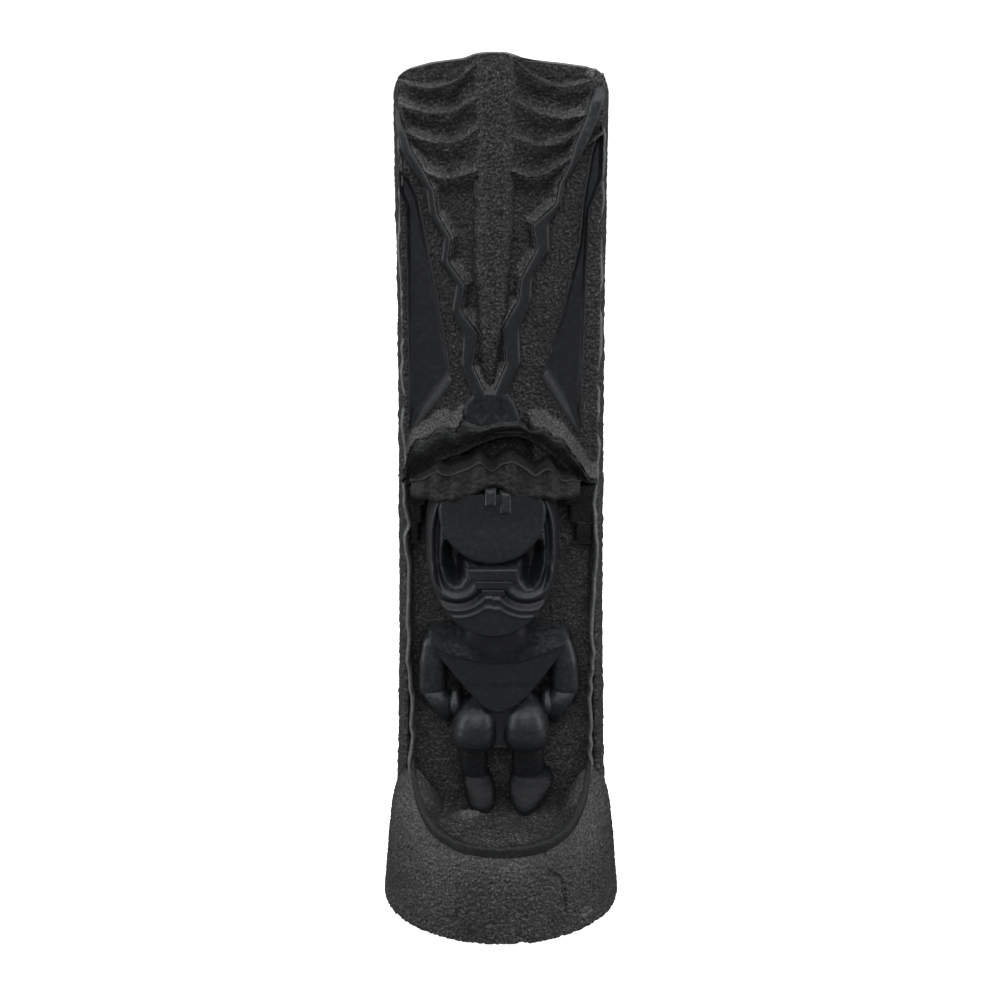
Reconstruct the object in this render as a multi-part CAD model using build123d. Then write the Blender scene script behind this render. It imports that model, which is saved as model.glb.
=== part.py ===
"""Tiki figure of cast lava stone, 230 mm tall, in millimetres.

A small standing figure is carved in the niche of a tall column that grows from a rough rock
base. Above the head rises a headdress with a midrib, feathers, zigzag borders and dagger panels.

Frame: +Z up, the origin on the resting face under the middle of the base, the front faces -Y.
The casting is divided along its carved outlines. Pieces are cut in turn: each gives way to the
pieces placed before it, so that neighbours meet face to face.
"""

from build123d import *
import os

# ---- Base, platform and pad --------------------------------------------------------------------
BASE_SPREAD = 1.176  # width of the base over the width of the column's foot
BASE_DEPTH = 56.0
BASE_HEIGHT = 24.4  # rock below the platform
BASE_LEAN = 2.6  # how far the rock's side leans in up to the platform
FELT_THICKNESS = 1.0
FELT_INSET = 3.0
PLATFORM_THICKNESS = 3.0
PLATFORM_SETBACK = 4.0  # from the front of the base to the front of the platform
SHOULDER_HEIGHT = 10.6  # rock that climbs the foot of the column above the platform's underside

# ---- Column and niche --------------------------------------------------------------------------
COLUMN_WIDTH = 52.4  # at the top
COLUMN_FLARE = 2.2  # each side, from the top down to the platform
COLUMN_FRONT = 2.0  # y of the niche's rims
COLUMN_BACK_SETBACK = 2.2  # from the back of the base to the back of the column
COLUMN_SIDE_FLAT = 8.0  # depth of the flat side before the rounded back
NICHE_DEPTH = 6.0
RIM_THICKNESS = 2.2  # niche wall at the top of the niche
HEADDRESS_HEIGHT = 99.5  # from the top of the niche to the column's top corners
CREST_RISE = 7.2  # middle of the top edge above its corners
CREST_HALF = 6.5  # half width of the raised middle of the top edge
CREST_STEP = 2.2
TOP_CORNER = 5.0

# ---- Headdress carving -------------------------------------------------------------------------
CARVING_AXIS = -1.3  # x of the headdress's own centre line, slightly off the column's
MIDRIB_HALF = 5.4
MIDRIB_PROUD = 5.0
MIDRIB_POINT_RISE = 24.0  # its lower point above the top of the niche
MIDRIB_TAPER = 24.0
FEATHERS = 4
FEATHER_PITCH = 7.1
FEATHER_FIRST_DROP = 1.9  # first ledge below the top corners
FEATHER_SAG = 4.6
FEATHER_PROUD = 3.0
FEATHER_RECESS = 2.2
ZIGZAG_TEETH = 5
ZIGZAG_WIDTH = 2.4
ZIGZAG_PROUD = 3.0
ZIGZAG_TOP_DROP = 10.0  # first straight stretch below the top corners
ZIGZAG_EDGE = 1.6  # from the column's side to the border's first stretch
ZIGZAG_FOOT_HALF = 1.4  # half the gap between the two borders at their crossing
ZIGZAG_FOOT_RISE = 23.0  # the crossing above the top of the niche
ZIGZAG_FLARE = 0.8  # each straight stretch leans outwards by this
KNOT_HALF = 8.0
KNOT_PROUD = 3.4
KNOT_RISE = 15.0
DAGGER_RECESS = 2.6
DAGGER_EDGE = 3.2  # rough strip between the dagger panel and the column's side
DAGGER_TOP_HALF = 1.4
DAGGER_FOOT_WIDTH = 9.6
DAGGER_TOP_DROP = 29.0  # below the column's top corners
DAGGER_SHOULDER_RISE = 25.2  # inner lower corner above the top of the niche
DAGGER_POINT_RISE = 11.9  # outer lower corner above the top of the niche

# ---- Headbands ---------------------------------------------------------------------------------
BAND_BITE = 0.8  # how far a headband reaches into the rims
UPPER_BAND_PROUD = 6.0
UPPER_BAND_RISE = 15.3  # its middle above the top of the niche
UPPER_BAND_DROP = 14.0  # fall from the middle to the ends
UPPER_BAND_SCALLOPS = 9
UPPER_BAND_TOOTH = 2.2
LOWER_BAND_PROUD = 10.6
LOWER_BAND_INSET = 2.8  # from the niche's side to the headband's end
LOWER_BAND_RISE = 8.3
LOWER_BAND_DROP = 8.6
LOWER_BAND_SCALLOPS = 7
LOWER_BAND_TOOTH = 2.8
BAND_OVERHANG = 3.0  # both headbands hang below the top of the niche
LOCK_WIDTH = 5.0
LOCK_LENGTH = 20.0
LOCK_STEPS = 3
LOCK_PROUD = 4.0

# ---- Head --------------------------------------------------------------------------------------
HEAD_AXIS = -2.2
HEAD_HALF = 17.6
HEAD_HEIGHT = 46.0  # full oval, its top hidden behind the headbands
HEAD_HIDDEN = 4.5  # the part of the oval above the top of the niche
HEAD_PROUD = 12.4
HEAD_DOME = 62.0  # radius of the face's swell
FOREHEAD_RADIUS = 14.3
FOREHEAD_PROUD = 16.4
FOREHEAD_DROP = 3.4  # its centre below the top of the niche
EYE_OUT = 10.6  # eye's centre from the head's axis
EYE_DROP = 20.4
EYE_HALF_WIDTH = 3.5
EYE_HALF_HEIGHT = 7.0
EYE_RIM = 1.9
EYE_LEAN = 18.0  # degrees, feet of the eyes towards the nose
EYE_DEPTH = 6.0
EYE_RIM_PROUD = 13.4
NOSE_TOP_HALF = 6.4
NOSE_FOOT_HALF = 4.1
NOSE_HEIGHT = 6.0
NOSE_DROP = 23.2
NOSE_PROUD = 14.4
FORELOCK_WIDTH = 3.0
FORELOCK_HEIGHT = 5.2
FORELOCK_PROUD = 17.6
LIP_HALF = 12.0
LIP_WIDTH = 1.7
LIP_GAP = 1.9
LIP_ARCH = 4.2
LIP_DROP = 29.6
LIP_PROUD = 13.6
CHIN_HALF = 7.0
CHIN_HEIGHT = 6.0
CHIN_PROUD = 13.0
NECK_HALF = 9.0
NECK_PROUD = 3.0

# ---- Body, arms and legs -----------------------------------------------------------------------
BODY_AXIS = -0.5
FOOT_HEIGHT = 7.6
FOOT_WIDTH = 9.4
FOOT_OUT = 6.6
FOOT_PROUD = 7.6
TOE_HEIGHT = 2.4
CALF_HEIGHT = 10.2
CALF_HALF = 4.4
CALF_PROUD = 5.0
CALF_OUT = 7.0
THIGH_HEIGHT = 13.6
THIGH_HALF = 6.2
THIGH_TOP_HALF = 3.8
THIGH_PROUD = 8.6
THIGH_OUT = 6.8
HIP_HALF = 10.0
HIP_PROUD = 4.4
TORSO_HEIGHT = 20.6
TORSO_OVERLAP = 3.0  # the torso's point reaches down between the thighs
SHOULDER_HALF = 18.4
WAIST_HALF = 4.6
TORSO_PROUD = 7.4
SHOULDER_SLOPE = 5.4
ARM_PROUD = 2.6
ARM_OUT = 22.2
ARM_WIDTH = 6.0
ELBOW_RISE = 4.0  # above the torso's point
HAND_PROUD = 3.6
HAND_OUT = 12.4
HAND_DROP = 4.4
NECK_HEIGHT = 4.0

# ---- Places worked out from the sizes ----------------------------------------------------------
Z_ROCK = FELT_THICKNESS
Z_LEDGE = Z_ROCK + BASE_HEIGHT
Z_FLOOR = Z_LEDGE + PLATFORM_THICKNESS
Z_KNEE = Z_FLOOR + FOOT_HEIGHT + CALF_HEIGHT
Z_THIGH_TOP = Z_KNEE + THIGH_HEIGHT
Z_TORSO = Z_THIGH_TOP - TORSO_OVERLAP
Z_SHOULDER = Z_TORSO + TORSO_HEIGHT
Z_CHIN = Z_SHOULDER + NECK_HEIGHT
Z_NICHE = Z_CHIN + HEAD_HEIGHT - HEAD_HIDDEN
Z_BAND = Z_NICHE - BAND_OVERHANG
Z_CORNER = Z_NICHE + HEADDRESS_HEIGHT
Z_TOP = Z_CORNER + CREST_RISE

Y_NICHE = COLUMN_FRONT + NICHE_DEPTH
Y_BACK = BASE_DEPTH / 2 - COLUMN_BACK_SETBACK
Y_PLATFORM = -(BASE_DEPTH / 2 - PLATFORM_SETBACK)
COLUMN_HALF = COLUMN_WIDTH / 2
FOOT_HALF = COLUMN_HALF + COLUMN_FLARE
NICHE_HALF = COLUMN_HALF - RIM_THICKNESS
LOWER_BAND_HALF = NICHE_HALF - LOWER_BAND_INSET
BASE_WIDTH = 2 * FOOT_HALF * BASE_SPREAD
FAR = 2 * (BASE_WIDTH + BASE_DEPTH)  # longer than the whole piece is wide

placed = {}


def clash(a, b):
    """Tell whether the boxes of two shapes overlap."""
    one, two = a.bounding_box(), b.bounding_box()
    low = (max(one.min.X, two.min.X), max(one.min.Y, two.min.Y), max(one.min.Z, two.min.Z))
    high = (min(one.max.X, two.max.X), min(one.max.Y, two.max.Y), min(one.max.Z, two.max.Z))
    return all(l < h for l, h in zip(low, high))


def place(name, shape):
    """Cut a piece back to the pieces placed so far and export it."""
    for other in placed.values():
        if clash(shape, other):
            shape = shape - other
    shape.label = name
    placed[name] = shape
    export_step(shape, f"parts/{name}.step")


def front_prism(outline, y_front, y_back):
    """Extrude an outline of (x, z) points, seen from the front, between two depths."""
    face = make_face(Polyline(*outline, close=True))
    return extrude(Plane.XZ.offset(-y_back) * face, y_back - y_front)


def side_prism(outline, x_low, x_high):
    """Extrude an outline of (y, z) points, seen from the side, between two widths."""
    face = make_face(Polyline(*outline, close=True))
    return extrude(Plane.YZ.offset(x_low) * face, x_high - x_low)


def block(x_low, x_high, y_low, y_high, z_low, z_high):
    """A box between two corners."""
    centre = ((x_low + x_high) / 2, (y_low + y_high) / 2, (z_low + z_high) / 2)
    return Pos(*centre) * Box(x_high - x_low, y_high - y_low, z_high - z_low)


def mirrored(outline, axis):
    """Reflect (x, z) points about the vertical line x = axis."""
    return [(2 * axis - x, z) for x, z in outline]


def both_sides(name, outline, axis, y_front, y_back):
    """Place a left and a right piece of the same outline, given for the left side."""
    for side, points in (("left", outline), ("right", mirrored(outline, axis))):
        place(f"{side}_{name}", front_prism(points, y_front, y_back))


def leg_loft(x, z_low, z_high, half_low, half_high, y_front):
    """Loft between two ovals that stand against the niche's back and reach y_front below."""
    depth = Y_NICHE - y_front
    sections = [
        Pos(x, Y_NICHE, z_low) * Ellipse(half_low, depth),
        Pos(x, Y_NICHE, z_high) * Ellipse(half_high, depth * half_high / half_low),
    ]
    return loft(sections, ruled=True)


def column_section(z, half):
    """The column's plan at one height: flat front and sides, rounded back."""
    y_side = COLUMN_FRONT + COLUMN_SIDE_FLAT
    walls = Polyline((-half, y_side), (-half, COLUMN_FRONT), (half, COLUMN_FRONT), (half, y_side))
    back = ThreePointArc((half, y_side), (0, Y_BACK), (-half, y_side))
    return Plane.XY.offset(z) * make_face([*walls.edges(), back])


def crest_cutter():
    """Everything below the column's top edge: rounded corners, a rise and a raised middle."""
    right = [
        (BASE_WIDTH, 0),
        (BASE_WIDTH, Z_CORNER - TOP_CORNER),
        (COLUMN_HALF, Z_CORNER - TOP_CORNER),
        (COLUMN_HALF - TOP_CORNER / 3, Z_CORNER - TOP_CORNER / 3),
        (COLUMN_HALF - TOP_CORNER, Z_CORNER + TOP_CORNER / 3),
        (CREST_HALF + CREST_STEP, Z_TOP - CREST_STEP),
        (CREST_HALF, Z_TOP - CREST_STEP / 2),
        (CREST_HALF / 2, Z_TOP),
    ]
    return front_prism(right + [(-x, z) for x, z in reversed(right)], -FAR, FAR)


def column_body(crest):
    """The whole column, tapered from the ledge up, under its arched top edge."""
    foot, head = column_section(Z_LEDGE, FOOT_HALF), column_section(Z_TOP, COLUMN_HALF)
    return loft([foot, head], ruled=True) & crest


def build_base():
    """Felt pad, platform, rock base and the two rock shoulders that climb the column's foot."""
    felt = Ellipse(BASE_WIDTH / 2 - FELT_INSET, BASE_DEPTH / 2 - FELT_INSET)
    place("felt_pad", extrude(felt, FELT_THICKNESS))

    tongue = extrude(Ellipse(NICHE_HALF, -Y_PLATFORM), PLATFORM_THICKNESS)
    tongue &= block(-FAR, FAR, Y_PLATFORM, 0, 0, PLATFORM_THICKNESS)
    tongue += block(-NICHE_HALF, NICHE_HALF, 0, Y_NICHE, 0, PLATFORM_THICKNESS)
    place("platform", Pos(0, 0, Z_LEDGE) * tongue)

    ledge = Ellipse(BASE_WIDTH / 2 - BASE_LEAN, BASE_DEPTH / 2 - BASE_LEAN / 2)
    foot = Ellipse(BASE_WIDTH / 2, BASE_DEPTH / 2)
    place("base_rock", loft([Pos(0, 0, Z_ROCK) * foot, Pos(0, 0, Z_LEDGE) * ledge], ruled=True))

    half_depth = (Y_BACK - COLUMN_FRONT) / 2
    top = Pos(0, Y_BACK - half_depth, Z_LEDGE + SHOULDER_HEIGHT) * Ellipse(FOOT_HALF, half_depth)
    shoulder = loft([Pos(0, 0, Z_LEDGE) * ledge, top], ruled=True)
    shoulder -= block(-NICHE_HALF, NICHE_HALF, -FAR, Y_NICHE, Z_LEDGE, Z_TOP)
    place("left_rock_shoulder", shoulder & block(-FAR, 0, -FAR, FAR, Z_LEDGE, Z_TOP))
    place("right_rock_shoulder", shoulder & block(0, FAR, -FAR, FAR, Z_LEDGE, Z_TOP))


def zigzag_edges():
    """Both edges of the left border: a straight stretch and a diagonal for each tooth."""
    x_edge = -COLUMN_HALF + ZIGZAG_EDGE
    z_start = Z_CORNER - ZIGZAG_TOP_DROP
    x_foot = CARVING_AXIS - ZIGZAG_FOOT_HALF - ZIGZAG_WIDTH
    pitch = (z_start - Z_NICHE - ZIGZAG_FOOT_RISE) / ZIGZAG_TEETH
    step = (x_foot - x_edge) / ZIGZAG_TEETH
    outer = [(x_edge, Z_CORNER - TOP_CORNER), (x_edge, z_start)]
    for tooth in range(ZIGZAG_TEETH):
        x, z = x_edge + tooth * step, z_start - tooth * pitch
        outer.append((x + step + ZIGZAG_FLARE, z - pitch / 2))
        outer.append((x + step, z - pitch))
    return outer, [(x + ZIGZAG_WIDTH, z) for x, z in reversed(outer)]


def dagger_outline():
    """The left dagger panel: a long sliver that widens down to a slanting foot."""
    x_out = -COLUMN_HALF + DAGGER_EDGE
    z_tip = Z_CORNER - DAGGER_TOP_DROP
    return [
        (x_out, z_tip),
        (x_out + 2 * DAGGER_TOP_HALF, z_tip),
        (x_out + DAGGER_FOOT_WIDTH, Z_NICHE + DAGGER_SHOULDER_RISE),
        (x_out, Z_NICHE + DAGGER_POINT_RISE),
    ]


def build_headdress(column, crest):
    """Midrib, borders, knot, feathers, dagger panels and the ground they lie on."""
    y_ground = COLUMN_FRONT
    front_sheet = block(-COLUMN_HALF, COLUMN_HALF, -FAR, FAR, 0, Z_TOP) & crest
    z_point = Z_NICHE + MIDRIB_POINT_RISE
    rib = [
        (CARVING_AXIS - MIDRIB_HALF, Z_TOP),
        (CARVING_AXIS + MIDRIB_HALF, Z_TOP),
        (CARVING_AXIS + MIDRIB_HALF, z_point + MIDRIB_TAPER),
        (CARVING_AXIS, z_point),
        (CARVING_AXIS - MIDRIB_HALF, z_point + MIDRIB_TAPER),
    ]
    place("midrib", front_prism(rib, y_ground - MIDRIB_PROUD, y_ground) & front_sheet)
    outer, inner = zigzag_edges()
    both_sides("zigzag_border", outer + inner, CARVING_AXIS, y_ground - ZIGZAG_PROUD, y_ground)
    field = outer + [(CARVING_AXIS, outer[-1][1]), (CARVING_AXIS, Z_TOP), (-COLUMN_HALF, Z_TOP)]

    knot_low = Z_NICHE + KNOT_RISE - UPPER_BAND_TOOTH
    knot = [
        (CARVING_AXIS - KNOT_HALF, knot_low),
        (CARVING_AXIS + KNOT_HALF, knot_low),
        (CARVING_AXIS + ZIGZAG_WIDTH, Z_NICHE + ZIGZAG_FOOT_RISE),
        (CARVING_AXIS - ZIGZAG_WIDTH, Z_NICHE + ZIGZAG_FOOT_RISE),
    ]
    place("border_knot", front_prism(knot, y_ground - KNOT_PROUD, y_ground))

    for number in range(FEATHERS):
        z_low = Z_CORNER - FEATHER_FIRST_DROP - number * FEATHER_PITCH
        z_high = z_low + FEATHER_PITCH
        low = [(-COLUMN_HALF, z_low), (-COLUMN_HALF / 2, z_low), (CARVING_AXIS, z_low + FEATHER_SAG)]
        high = [(CARVING_AXIS, z_high + FEATHER_SAG), (-COLUMN_HALF / 2, z_high), (-COLUMN_HALF, z_high)]
        slope = [
            (y_ground - FEATHER_PROUD, z_high + FEATHER_SAG),
            (y_ground, z_high + FEATHER_SAG),
            (y_ground, z_low),
            (y_ground - FEATHER_PROUD + FEATHER_RECESS, z_low),
        ]
        scoop = side_prism(slope, -FAR, FAR) & front_sheet
        for side, edge in (("left", field), ("right", mirrored(field, CARVING_AXIS))):
            blade = low + high if side == "left" else mirrored(low + high, CARVING_AXIS)
            feather = front_prism(blade, -FAR, y_ground) & front_prism(edge, -FAR, y_ground) & scoop
            place(f"{side}_feather_{number + 1}", feather)

    y_panel = y_ground + DAGGER_RECESS
    both_sides("dagger_panel", dagger_outline(), CARVING_AXIS, y_panel, Y_NICHE)
    ground = column & block(-FAR, FAR, y_ground - 1, Y_NICHE, Z_NICHE, Z_TOP + 1)
    for outline in (dagger_outline(), mirrored(dagger_outline(), CARVING_AXIS)):
        ground -= front_prism(outline, -FAR, y_panel)
    place("headdress_ground", ground)


def scalloped(axis, half, z_middle, drop, count, tooth):
    """Top edge of a headband from left to right: an arch with one point for each scallop."""
    edge = []
    for number in range(2 * count + 1):
        across = number / count - 1
        fall = drop * abs(across) ** 2.5
        edge.append((axis + half * across, z_middle - fall + (tooth if number % 2 else 0)))
    return edge


def build_headbands():
    """Two scalloped headbands and the stepped locks of hair that hang beside the face."""
    half = NICHE_HALF + BAND_BITE
    z_lower = Z_NICHE + LOWER_BAND_RISE
    lower = scalloped(
        HEAD_AXIS, LOWER_BAND_HALF, z_lower, LOWER_BAND_DROP, LOWER_BAND_SCALLOPS, LOWER_BAND_TOOTH
    )
    lower_foot = [(HEAD_AXIS + LOWER_BAND_HALF, Z_BAND), (HEAD_AXIS - LOWER_BAND_HALF, Z_BAND)]
    place("lower_headband", front_prism(lower + lower_foot, COLUMN_FRONT - LOWER_BAND_PROUD, COLUMN_FRONT))

    z_upper = Z_NICHE + UPPER_BAND_RISE
    upper = scalloped(0, half, z_upper, UPPER_BAND_DROP, UPPER_BAND_SCALLOPS, UPPER_BAND_TOOTH)
    upper_foot = [(half, Z_BAND), (-half, Z_BAND)]
    place("upper_headband", front_prism(upper + upper_foot, COLUMN_FRONT - UPPER_BAND_PROUD, COLUMN_FRONT))

    steps = [(-NICHE_HALF, Z_BAND), (-NICHE_HALF + LOCK_WIDTH, Z_BAND)]
    for number in range(LOCK_STEPS):
        x = -NICHE_HALF + LOCK_WIDTH * (LOCK_STEPS - number) / LOCK_STEPS
        z = Z_BAND - LOCK_LENGTH * (number + 1) / LOCK_STEPS
        steps += [(x, z), (x - LOCK_WIDTH / LOCK_STEPS, z)]
    outline = steps[:-1] + [(-NICHE_HALF, steps[-1][1])]
    both_sides("hair_lock", outline, 0, COLUMN_FRONT - LOCK_PROUD, Y_NICHE)


def eye_oval(side, half_width, half_height, y_front, y_back):
    """An upright oval prism at one eye, leaning in towards the nose at its foot."""
    face = Rot(0, 0, side * EYE_LEAN) * Ellipse(half_width, half_height)
    plane = Plane.XZ.offset(-y_back)
    oval = extrude(plane * Pos(HEAD_AXIS + side * EYE_OUT, Z_NICHE - EYE_DROP) * face, y_back - y_front)
    return oval


def lip_outline(z_middle):
    """An arched fold like a flattened M: high in the middle, curling up at both ends."""
    upper = [
        (-LIP_HALF, z_middle - LIP_ARCH / 3),
        (-LIP_HALF * 3 / 4, z_middle - LIP_ARCH * 3 / 4),
        (-LIP_HALF / 2, z_middle - LIP_ARCH * 3 / 4),
        (-LIP_HALF / 8, z_middle),
    ]
    upper += [(-x, z) for x, z in reversed(upper)]
    lower = [(x, z - LIP_WIDTH) for x, z in reversed(upper)]
    return [(HEAD_AXIS + x, z) for x, z in upper + lower]


def build_head():
    """Forehead, eye rims, nose, lips and chin, let into the oval of the face."""
    y_seat = COLUMN_FRONT - HEAD_PROUD / 2
    forehead = Pos(HEAD_AXIS, 0, Z_NICHE - FOREHEAD_DROP) * Rot(90, 0, 0) * Cylinder(FOREHEAD_RADIUS, FAR)
    forehead &= block(-FAR, FAR, COLUMN_FRONT - FOREHEAD_PROUD, y_seat, 0, Z_NICHE)
    for side, x in (("left", HEAD_AXIS - FORELOCK_WIDTH), ("right", HEAD_AXIS + FORELOCK_WIDTH / 4)):
        tuft = block(
            x,
            x + FORELOCK_WIDTH,
            COLUMN_FRONT - FORELOCK_PROUD,
            y_seat,
            Z_BAND - (FORELOCK_HEIGHT if side == "right" else FORELOCK_HEIGHT / 2),
            Z_NICHE,
        )
        place(f"{side}_forelock", tuft)
    place("forehead", forehead)

    z_nose = Z_NICHE - NOSE_DROP + NOSE_HEIGHT / 2
    nose = [
        (HEAD_AXIS - NOSE_TOP_HALF, z_nose),
        (HEAD_AXIS + NOSE_TOP_HALF, z_nose),
        (HEAD_AXIS + NOSE_FOOT_HALF, z_nose - NOSE_HEIGHT),
        (HEAD_AXIS - NOSE_FOOT_HALF, z_nose - NOSE_HEIGHT),
    ]
    place("nose_bar", front_prism(nose, COLUMN_FRONT - NOSE_PROUD, y_seat))

    y_floor = COLUMN_FRONT - HEAD_PROUD + EYE_DEPTH
    sockets = []
    for side, sign in (("left", -1), ("right", 1)):
        y_rim = COLUMN_FRONT - EYE_RIM_PROUD
        outer = eye_oval(sign, EYE_HALF_WIDTH + EYE_RIM, EYE_HALF_HEIGHT + EYE_RIM, y_rim, y_floor)
        socket = eye_oval(sign, EYE_HALF_WIDTH, EYE_HALF_HEIGHT, -FAR, y_floor)
        sockets.append(socket)
        place(f"{side}_eye_rim", outer - socket)

    for number, name in enumerate(("upper_lip_fold", "lower_lip_fold")):
        z_lip = Z_NICHE - LIP_DROP - number * (LIP_WIDTH + LIP_GAP)
        place(name, front_prism(lip_outline(z_lip), COLUMN_FRONT - LIP_PROUD, y_seat))

    chin = [
        (HEAD_AXIS - CHIN_HALF, Z_CHIN + CHIN_HEIGHT / 2),
        (HEAD_AXIS, Z_CHIN + CHIN_HEIGHT),
        (HEAD_AXIS + CHIN_HALF, Z_CHIN + CHIN_HEIGHT / 2),
        (HEAD_AXIS + CHIN_HALF / 2, Z_CHIN),
        (HEAD_AXIS - CHIN_HALF / 2, Z_CHIN),
    ]
    place("chin", front_prism(chin, COLUMN_FRONT - CHIN_PROUD, y_seat))

    z_head = Z_CHIN + HEAD_HEIGHT / 2
    oval = Plane.XZ.offset(-Y_NICHE) * Pos(HEAD_AXIS, z_head) * Ellipse(HEAD_HALF, HEAD_HEIGHT / 2)
    skull = extrude(oval, FAR) & block(-FAR, FAR, -FAR, FAR, 0, Z_NICHE)
    skull &= Pos(HEAD_AXIS, COLUMN_FRONT - HEAD_PROUD + HEAD_DOME, z_head) * Cylinder(HEAD_DOME, HEAD_HEIGHT)
    for socket in sockets:
        skull -= socket
    place("face", skull)
    place("neck", block(
        HEAD_AXIS - NECK_HALF,
        HEAD_AXIS + NECK_HALF,
        COLUMN_FRONT - NECK_PROUD,
        Y_NICHE,
        Z_SHOULDER - SHOULDER_SLOPE,
        Z_CHIN + HEAD_HEIGHT / 4,
    ))


def build_body():
    """Torso, hips, arms and legs, all standing against the niche's back."""
    waist = Z_TORSO + TORSO_HEIGHT / 4
    chest = [
        (BODY_AXIS - SHOULDER_HALF, Z_SHOULDER),
        (BODY_AXIS + SHOULDER_HALF, Z_SHOULDER),
        (BODY_AXIS + SHOULDER_HALF, Z_SHOULDER - SHOULDER_SLOPE / 3),
        (BODY_AXIS + WAIST_HALF * 2, waist),
        (BODY_AXIS + WAIST_HALF, Z_TORSO),
        (BODY_AXIS - WAIST_HALF, Z_TORSO),
        (BODY_AXIS - WAIST_HALF * 2, waist),
        (BODY_AXIS - SHOULDER_HALF, Z_SHOULDER - SHOULDER_SLOPE / 3),
    ]
    y_chest = COLUMN_FRONT - TORSO_PROUD
    slope = side_prism(
        [
            (y_chest, Z_FLOOR),
            (y_chest, Z_SHOULDER - SHOULDER_SLOPE),
            (COLUMN_FRONT, Z_SHOULDER),
            (Y_NICHE, Z_SHOULDER),
            (Y_NICHE, Z_FLOOR),
        ],
        -FAR,
        FAR,
    )
    place("torso", front_prism(chest, y_chest, Y_NICHE) & slope)

    z_elbow = Z_TORSO + ELBOW_RISE
    y_arm = COLUMN_FRONT - ARM_PROUD
    upper_arm = [
        (BODY_AXIS - ARM_OUT + ARM_WIDTH, Z_SHOULDER - SHOULDER_SLOPE / 4),
        (BODY_AXIS - ARM_OUT + ARM_WIDTH / 4, Z_SHOULDER - SHOULDER_SLOPE / 4),
        (BODY_AXIS - ARM_OUT, Z_SHOULDER - SHOULDER_SLOPE),
        (BODY_AXIS - ARM_OUT, z_elbow),
        (BODY_AXIS - ARM_OUT + ARM_WIDTH, z_elbow),
    ]
    both_sides("upper_arm", upper_arm, BODY_AXIS, y_arm, Y_NICHE)
    z_hand = z_elbow - HAND_DROP - ARM_WIDTH / 4
    forearm = [
        (BODY_AXIS - ARM_OUT, z_elbow),
        (BODY_AXIS - ARM_OUT + ARM_WIDTH / 4, z_elbow - ARM_WIDTH / 4),
        (BODY_AXIS - HAND_OUT - ARM_WIDTH / 2, z_hand),
        (BODY_AXIS - HAND_OUT, z_elbow - ARM_WIDTH / 4),
        (BODY_AXIS - ARM_OUT + ARM_WIDTH, z_elbow),
    ]
    both_sides("forearm", forearm, BODY_AXIS, y_arm, Y_NICHE)
    hand = [
        (BODY_AXIS - HAND_OUT - ARM_WIDTH / 2, z_hand),
        (BODY_AXIS - HAND_OUT - ARM_WIDTH / 3, z_hand - HAND_DROP / 2),
        (BODY_AXIS - HAND_OUT, z_hand),
        (BODY_AXIS - HAND_OUT, z_elbow - ARM_WIDTH / 4),
    ]
    both_sides("hand", hand, BODY_AXIS, COLUMN_FRONT - HAND_PROUD, Y_NICHE)

    for side, sign in (("left", -1), ("right", 1)):
        x_foot, x_calf, x_thigh = sign * FOOT_OUT, sign * CALF_OUT, sign * THIGH_OUT
        profile = [
            (COLUMN_FRONT - FOOT_PROUD, Z_FLOOR),
            (COLUMN_FRONT - FOOT_PROUD, Z_FLOOR + TOE_HEIGHT),
            (COLUMN_FRONT, Z_FLOOR + FOOT_HEIGHT),
            (Y_NICHE, Z_FLOOR + FOOT_HEIGHT),
            (Y_NICHE, Z_FLOOR),
        ]
        place(f"{side}_foot", side_prism(profile, x_foot - FOOT_WIDTH / 2, x_foot + FOOT_WIDTH / 2))
        y_thigh, y_calf = COLUMN_FRONT - THIGH_PROUD, COLUMN_FRONT - CALF_PROUD
        z_ankle = Z_FLOOR + FOOT_HEIGHT / 2
        place(f"{side}_thigh", leg_loft(x_thigh, Z_KNEE, Z_THIGH_TOP, THIGH_HALF, THIGH_TOP_HALF, y_thigh))
        place(f"{side}_calf", leg_loft(x_calf, z_ankle, Z_KNEE, CALF_HALF, CALF_HALF, y_calf))
    place("hips", block(
        -HIP_HALF,
        HIP_HALF,
        COLUMN_FRONT - HIP_PROUD,
        Y_NICHE,
        Z_KNEE,
        Z_TORSO + TORSO_OVERLAP,
    ))


def build_column(column):
    """The back of the column and the two side walls of the niche."""
    place("column_back", column & block(-FAR, FAR, Y_NICHE, FAR, 0, Z_TOP + 1))
    place("left_niche_wall", column & block(-FAR, -NICHE_HALF, 0, Y_NICHE, 0, Z_NICHE))
    place("right_niche_wall", column & block(NICHE_HALF, FAR, 0, Y_NICHE, 0, Z_NICHE))


def main():
    """Build every piece in the order in which neighbours give way to each other."""
    os.makedirs("parts", exist_ok=True)
    crest = crest_cutter()
    column = column_body(crest)
    build_base()
    build_column(column)
    build_headbands()
    build_headdress(column, crest)
    build_head()
    build_body()
    size = Compound(list(placed.values())).bounding_box().size
    print(len(placed), "pieces, overall", size)


main()
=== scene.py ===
"""A squat tiki figure in the niche of a tall carved column, cast in one piece from stone-filled resin.

Shapes are worked out in millimetres in the frame of the CAD model: x to the viewer's right, y away from the
viewer, z up, so a smaller y stands prouder. Every mesh is a grid of rows and columns computed as whole arrays.
"""

import logging
import math
from dataclasses import dataclass, field, replace
from enum import Enum
from typing import ClassVar

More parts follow.
